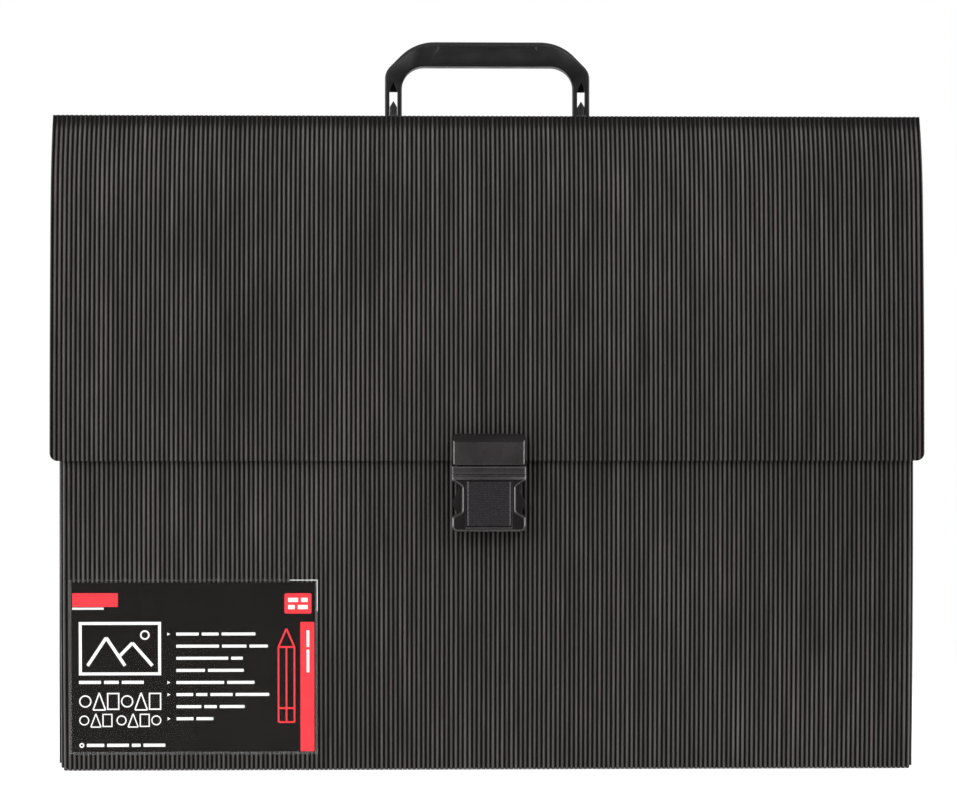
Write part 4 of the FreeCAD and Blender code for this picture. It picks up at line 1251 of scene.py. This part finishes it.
def make_print():
    """Generic print: a picture sign, a pencil sign, plain bars for lines of words, and red accents."""
    white = Ink("label_print_white", WHITE_INK, WHITE_DEPTH)
    left, right, top, bottom = 0.040, 0.370, 0.240, 0.545
    white.frame(left, top, right, bottom, 1.6)
    for start, end in (((0.075, 0.49), (0.150, 0.33)), ((0.150, 0.33), (0.225, 0.49)),
                       ((0.200, 0.44), (0.255, 0.36)), ((0.255, 0.36), (0.335, 0.49))):
        white.stroke(start, end, 1.7)
    white.ring((0.305, 0.315), 2.6, 0.9)
    white.words(left, 0.30, 0.585, 0.018, (3, 2, 3))
    white.signs(left, right, 0.645, 0.743, (6,), 0.75)
    white.signs(left, right, 0.765, 0.841, (3, 4), 0.65)
    lines = [(0.749, (4, 3, 6)), (0.799, (7, 4, 3)), (0.698, (9, 2)), (0.702, (4, 5)),
             (0.745, (7, 4)), (0.804, (3, 2, 4, 6)), (0.705, (4, 2, 4)), (0.579, (3, 3))]
    for number, (end, lengths) in enumerate(lines):
        middle = 0.310 + 0.0692 * number
        white.words(0.431, end, middle, 0.017, lengths)
        if number in (0, 4, 5, 7):
            (x0, z0), (x1, _) = label_point(0.395, middle), label_point(0.407, middle)
            white.outline([(x0, z0 - 0.9 * MM), (x1, z0), (x0, z0 + 0.9 * MM)])
    white.words(0.070, 0.385, 0.946, 0.018, (4, 5, 2, 5))
    white.ring((0.050, 0.946), 1.3, 0.7)
    white.block(0.014, 0.158, 0.14, 0.170)
    white.words(0.881, 0.960, 0.116, 0.024, (3, 2))
    white.words(0.881, 0.960, 0.157, 0.024, (2, 3))
    white.block(0.955, 0.290, 0.966, 0.385)
    white.block(0.955, 0.400, 0.966, 0.530)
    white.finish()

    red = Ink("label_print_red", RED_INK, RED_DEPTH)
    red.block(0.014, 0.076, 0.197, 0.154)
    red.block(0.930, 0.242, 0.986, 0.983)
    red.block(0.866, 0.078, 0.975, 0.194, 1.2)
    pencil_left, pencil_right, tip, shoulder, end = 0.842, 0.906, 0.280, 0.385, 0.815
    middle = (pencil_left + pencil_right) / 2
    strokes = [((across, shoulder), (across, end)) for across in (pencil_left, middle, pencil_right)]
    strokes += [((side, shoulder), (middle, tip)) for side in (pencil_left, pencil_right)]
    strokes += [((pencil_left, down), (pencil_right, down)) for down in (shoulder, end, 0.735)]
    for stroke in strokes:
        red.stroke(*stroke, 0.9)
    red.finish()


def make_film():
    """The clear pocket over the card: a faintly rippled film and the weld round its sides and bottom."""
    ripple = random.Random(5)
    waves = [(ripple.uniform(20, 90), ripple.uniform(20, 90), ripple.uniform(0, 6.28)) for _ in range(6)]
    off_front, ripple_height, thickness = 0.62, 0.06, 0.08 * MM
    columns, rows = 60, 44
    outer, inner = [], []
    for row in range(rows + 1):
        z = sleeve_low.z + (sleeve_high.z - sleeve_low.z) * row / rows
        outer_row, inner_row = [], []
        for column in range(columns + 1):
            x = sleeve_low.x + (sleeve_high.x - sleeve_low.x) * column / columns
            lift = sum(math.sin(a * x * 3 + b * z * 3 + c) for a, b, c in waves) / len(waves)
            y = face_y(z) - (off_front + ripple_height * lift) * MM
            outer_row.append((x, y, z))
            inner_row.append((x, y + thickness, z))
        outer.append(outer_row)
        inner.append(inner_row)
    film = sheet_solid("label_sleeve_film", outer, inner, FILM)
    finish_piece(film, "front", "clear_film", "label_sleeve")
    weld = 1.5 * MM
    x0, z0, x1, z1 = sleeve_low.x, sleeve_low.z, sleeve_high.x, sleeve_high.z
    strips = [(x0, z0, x1, z0 + weld), (x0, z0, x0 + weld, z1), (x1 - weld, z0, x1, z1)]
    welds = [prism("weld", frame_outline(*strip), -0.70 * MM, -0.02 * MM, WELD) for strip in strips]
    lip = prism("lip", frame_outline(x0, z1 - 0.5 * MM, x1, z1), -0.72 * MM, -0.50 * MM, WELD)
    piece = follow_front(joined("label_sleeve_weld", welds + [lip]), 0.0)
    finish_piece(piece, "front", "clear_film")
    # Painted glint: two flat, pale strips along the top edge and right edge at the sleeve's top right corner
    edge = 0.55 * MM
    glints = [prism("glint", frame_outline(*strip), -0.80 * MM, -0.74 * MM, FILM_GLINT)
             for strip in ((x1 - 15 * MM, z1 - edge, x1, z1), (x1 - edge, z1 - 17 * MM, x1, z1 - edge))]
    finish_piece(follow_front(joined("label_sleeve_glint", glints), 0.0), "front", "clear_film")


# ---------------------------------------------------------------- build

make_back()
make_base()
make_creases()
spine_sheet = make_spine()
for side in (-1, 1):
    carve(spine_sheet, leg_opening(side, spine_low.z - 1 * MM, spine_high.z + 1 * MM))
finish_piece(smooth(spine_sheet, 50.0), "spine", "ribbed_sheet", "spine_panel")
finish_piece(make_flap(), "flap", "ribbed_sheet", "flap_panel")
finish_piece(make_front(), "front", "ribbed_sheet", "front_panel")
make_gusset("left_gusset", -1)
make_gusset("right_gusset", 1)
make_handle()
make_anchors()
plate_low, plate_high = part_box("handle_backing_plate")
make_plate("handle_backing_plate", "moulded", "spine",
           [leg_opening(side, plate_low.z - 1 * MM, plate_high.z + 0.9 * MM) for side in (-1, 1)])
make_plate("tongue_backing_plate", "moulded", "flap", corner=2.0)
make_plate("socket_backing_plate", "moulded", "front", corner=2.0)
make_rivets("handle_rivets", "spine", "rivet", METAL, "z")
make_rivets("socket_rivets", "front", "rivet", METAL, "y")
make_rivets("tongue_rivets", "flap", "buckle_moulding", BUCKLE, "y")
make_tongue()
make_prongs()
make_socket()
make_strap()
make_card()
make_print()
make_film()

# ---------------------------------------------------------------- floor, light and camera

FRONT_LIGHT = 0.12


def make_floor():
    """A plain pale floor that fades into the white background away from the case."""
    size = 3.0
    m = Nodes("floor_pale")
    m.set(Base_Color=(0.93, 0.93, 0.93, 1.0), Roughness=0.8)
    distance = m.add("ShaderNodeVectorMath", operation="LENGTH")
    m.link(m.place, distance.inputs[0])
    m.set(Emission_Color=(1.0, 1.0, 1.0, 1.0), Emission_Strength=0.30)
    m.set(Alpha=m.spread(distance.outputs["Value"], 0.28, 0.70, 1.0, 0.0))
    floor = add_object("floor", [(-size, -size, 0), (size, -size, 0), (size, size, 0), (-size, size, 0)],
                       [(0, 1, 2, 3)], m.material)


def aimed(name, data, place, target):
    """A light or camera at a place, pointed at a target."""
    obj = bpy.data.objects.new(name, data)
    obj.location = place
    obj.rotation_mode = "QUATERNION"
    obj.rotation_quaternion = (Vector(target) - Vector(place)).to_track_quat("-Z", "Y")
    bpy.context.scene.collection.objects.link(obj)
    return obj


def make_light(name, place, target, width, height, power, spread=180.0):
    data = bpy.data.lights.new(name, "AREA")
    data.spread = math.radians(spread)
    data.shape = "RECTANGLE"
    data.size, data.size_y = width, height
    data.energy = power
    aimed(name, data, place, target)


def make_world():
    """A white studio: a lit white wall behind the case, and dimmer, even light from in front of it."""
    world = bpy.data.worlds.new("studio")
    bpy.context.scene.world = world
    world.use_nodes = True
    tree = world.node_tree
    background = tree.nodes["Background"]
    background.inputs["Color"].default_value = (1.0, 1.0, 1.0, 1.0)
    direction = tree.nodes.new("ShaderNodeTexCoord")
    split = tree.nodes.new("ShaderNodeSeparateXYZ")
    tree.links.new(direction.outputs["Generated"], split.inputs[0])
    wall = tree.nodes.new("ShaderNodeMapRange")
    for index, number in enumerate((-0.10, 0.35, FRONT_LIGHT, 1.0), start=1):
        wall.inputs[index].default_value = number
    tree.links.new(split.outputs["Y"], wall.inputs[0])
    seen = tree.nodes.new("ShaderNodeLightPath")
    level = tree.nodes.new("ShaderNodeMath")
    level.operation = "MAXIMUM"
    tree.links.new(wall.outputs[0], level.inputs[0])
    tree.links.new(seen.outputs["Is Camera Ray"], level.inputs[1])
    tree.links.new(level.outputs[0], background.inputs["Strength"])


def make_camera():
    data = bpy.data.cameras.new("camera")
    data.lens = 104.95
    data.sensor_width = 36.0
    data.clip_start, data.clip_end = 0.05, 50.0
    yaw = math.radians(1.4)
    target = Vector((-5.4 * MM, -24.0 * MM, 201.0 * MM))
    distance = 1.5
    place = target + Vector((-math.sin(yaw), -math.cos(yaw), 0.0)) * distance
    bpy.context.scene.camera = aimed("camera", data, place, target)


CASE_MIDDLE = (0.0, 0.0, 0.2)

make_floor()
make_world()
make_light("left_softbox", (-0.65, -0.75, 0.60), (-0.20, 0.0, 0.20), 0.6, 0.6, 1.8, 80.0)
make_light("right_softbox", (0.60, -0.70, 0.85), (0.10, 0.0, 0.34), 0.6, 0.6, 1.3, 70.0)
make_light("top_softbox", (0.0, -0.55, 1.25), CASE_MIDDLE, 1.2, 0.5, 5.0)
make_light("left_strip", (-1.10, -0.05, 0.28), CASE_MIDDLE, 0.30, 0.8, 8.5)
make_light("right_strip", (1.10, -0.05, 0.28), CASE_MIDDLE, 0.30, 0.8, 8.5)
make_camera()
bpy.context.scene.view_settings.view_transform = "Standard"
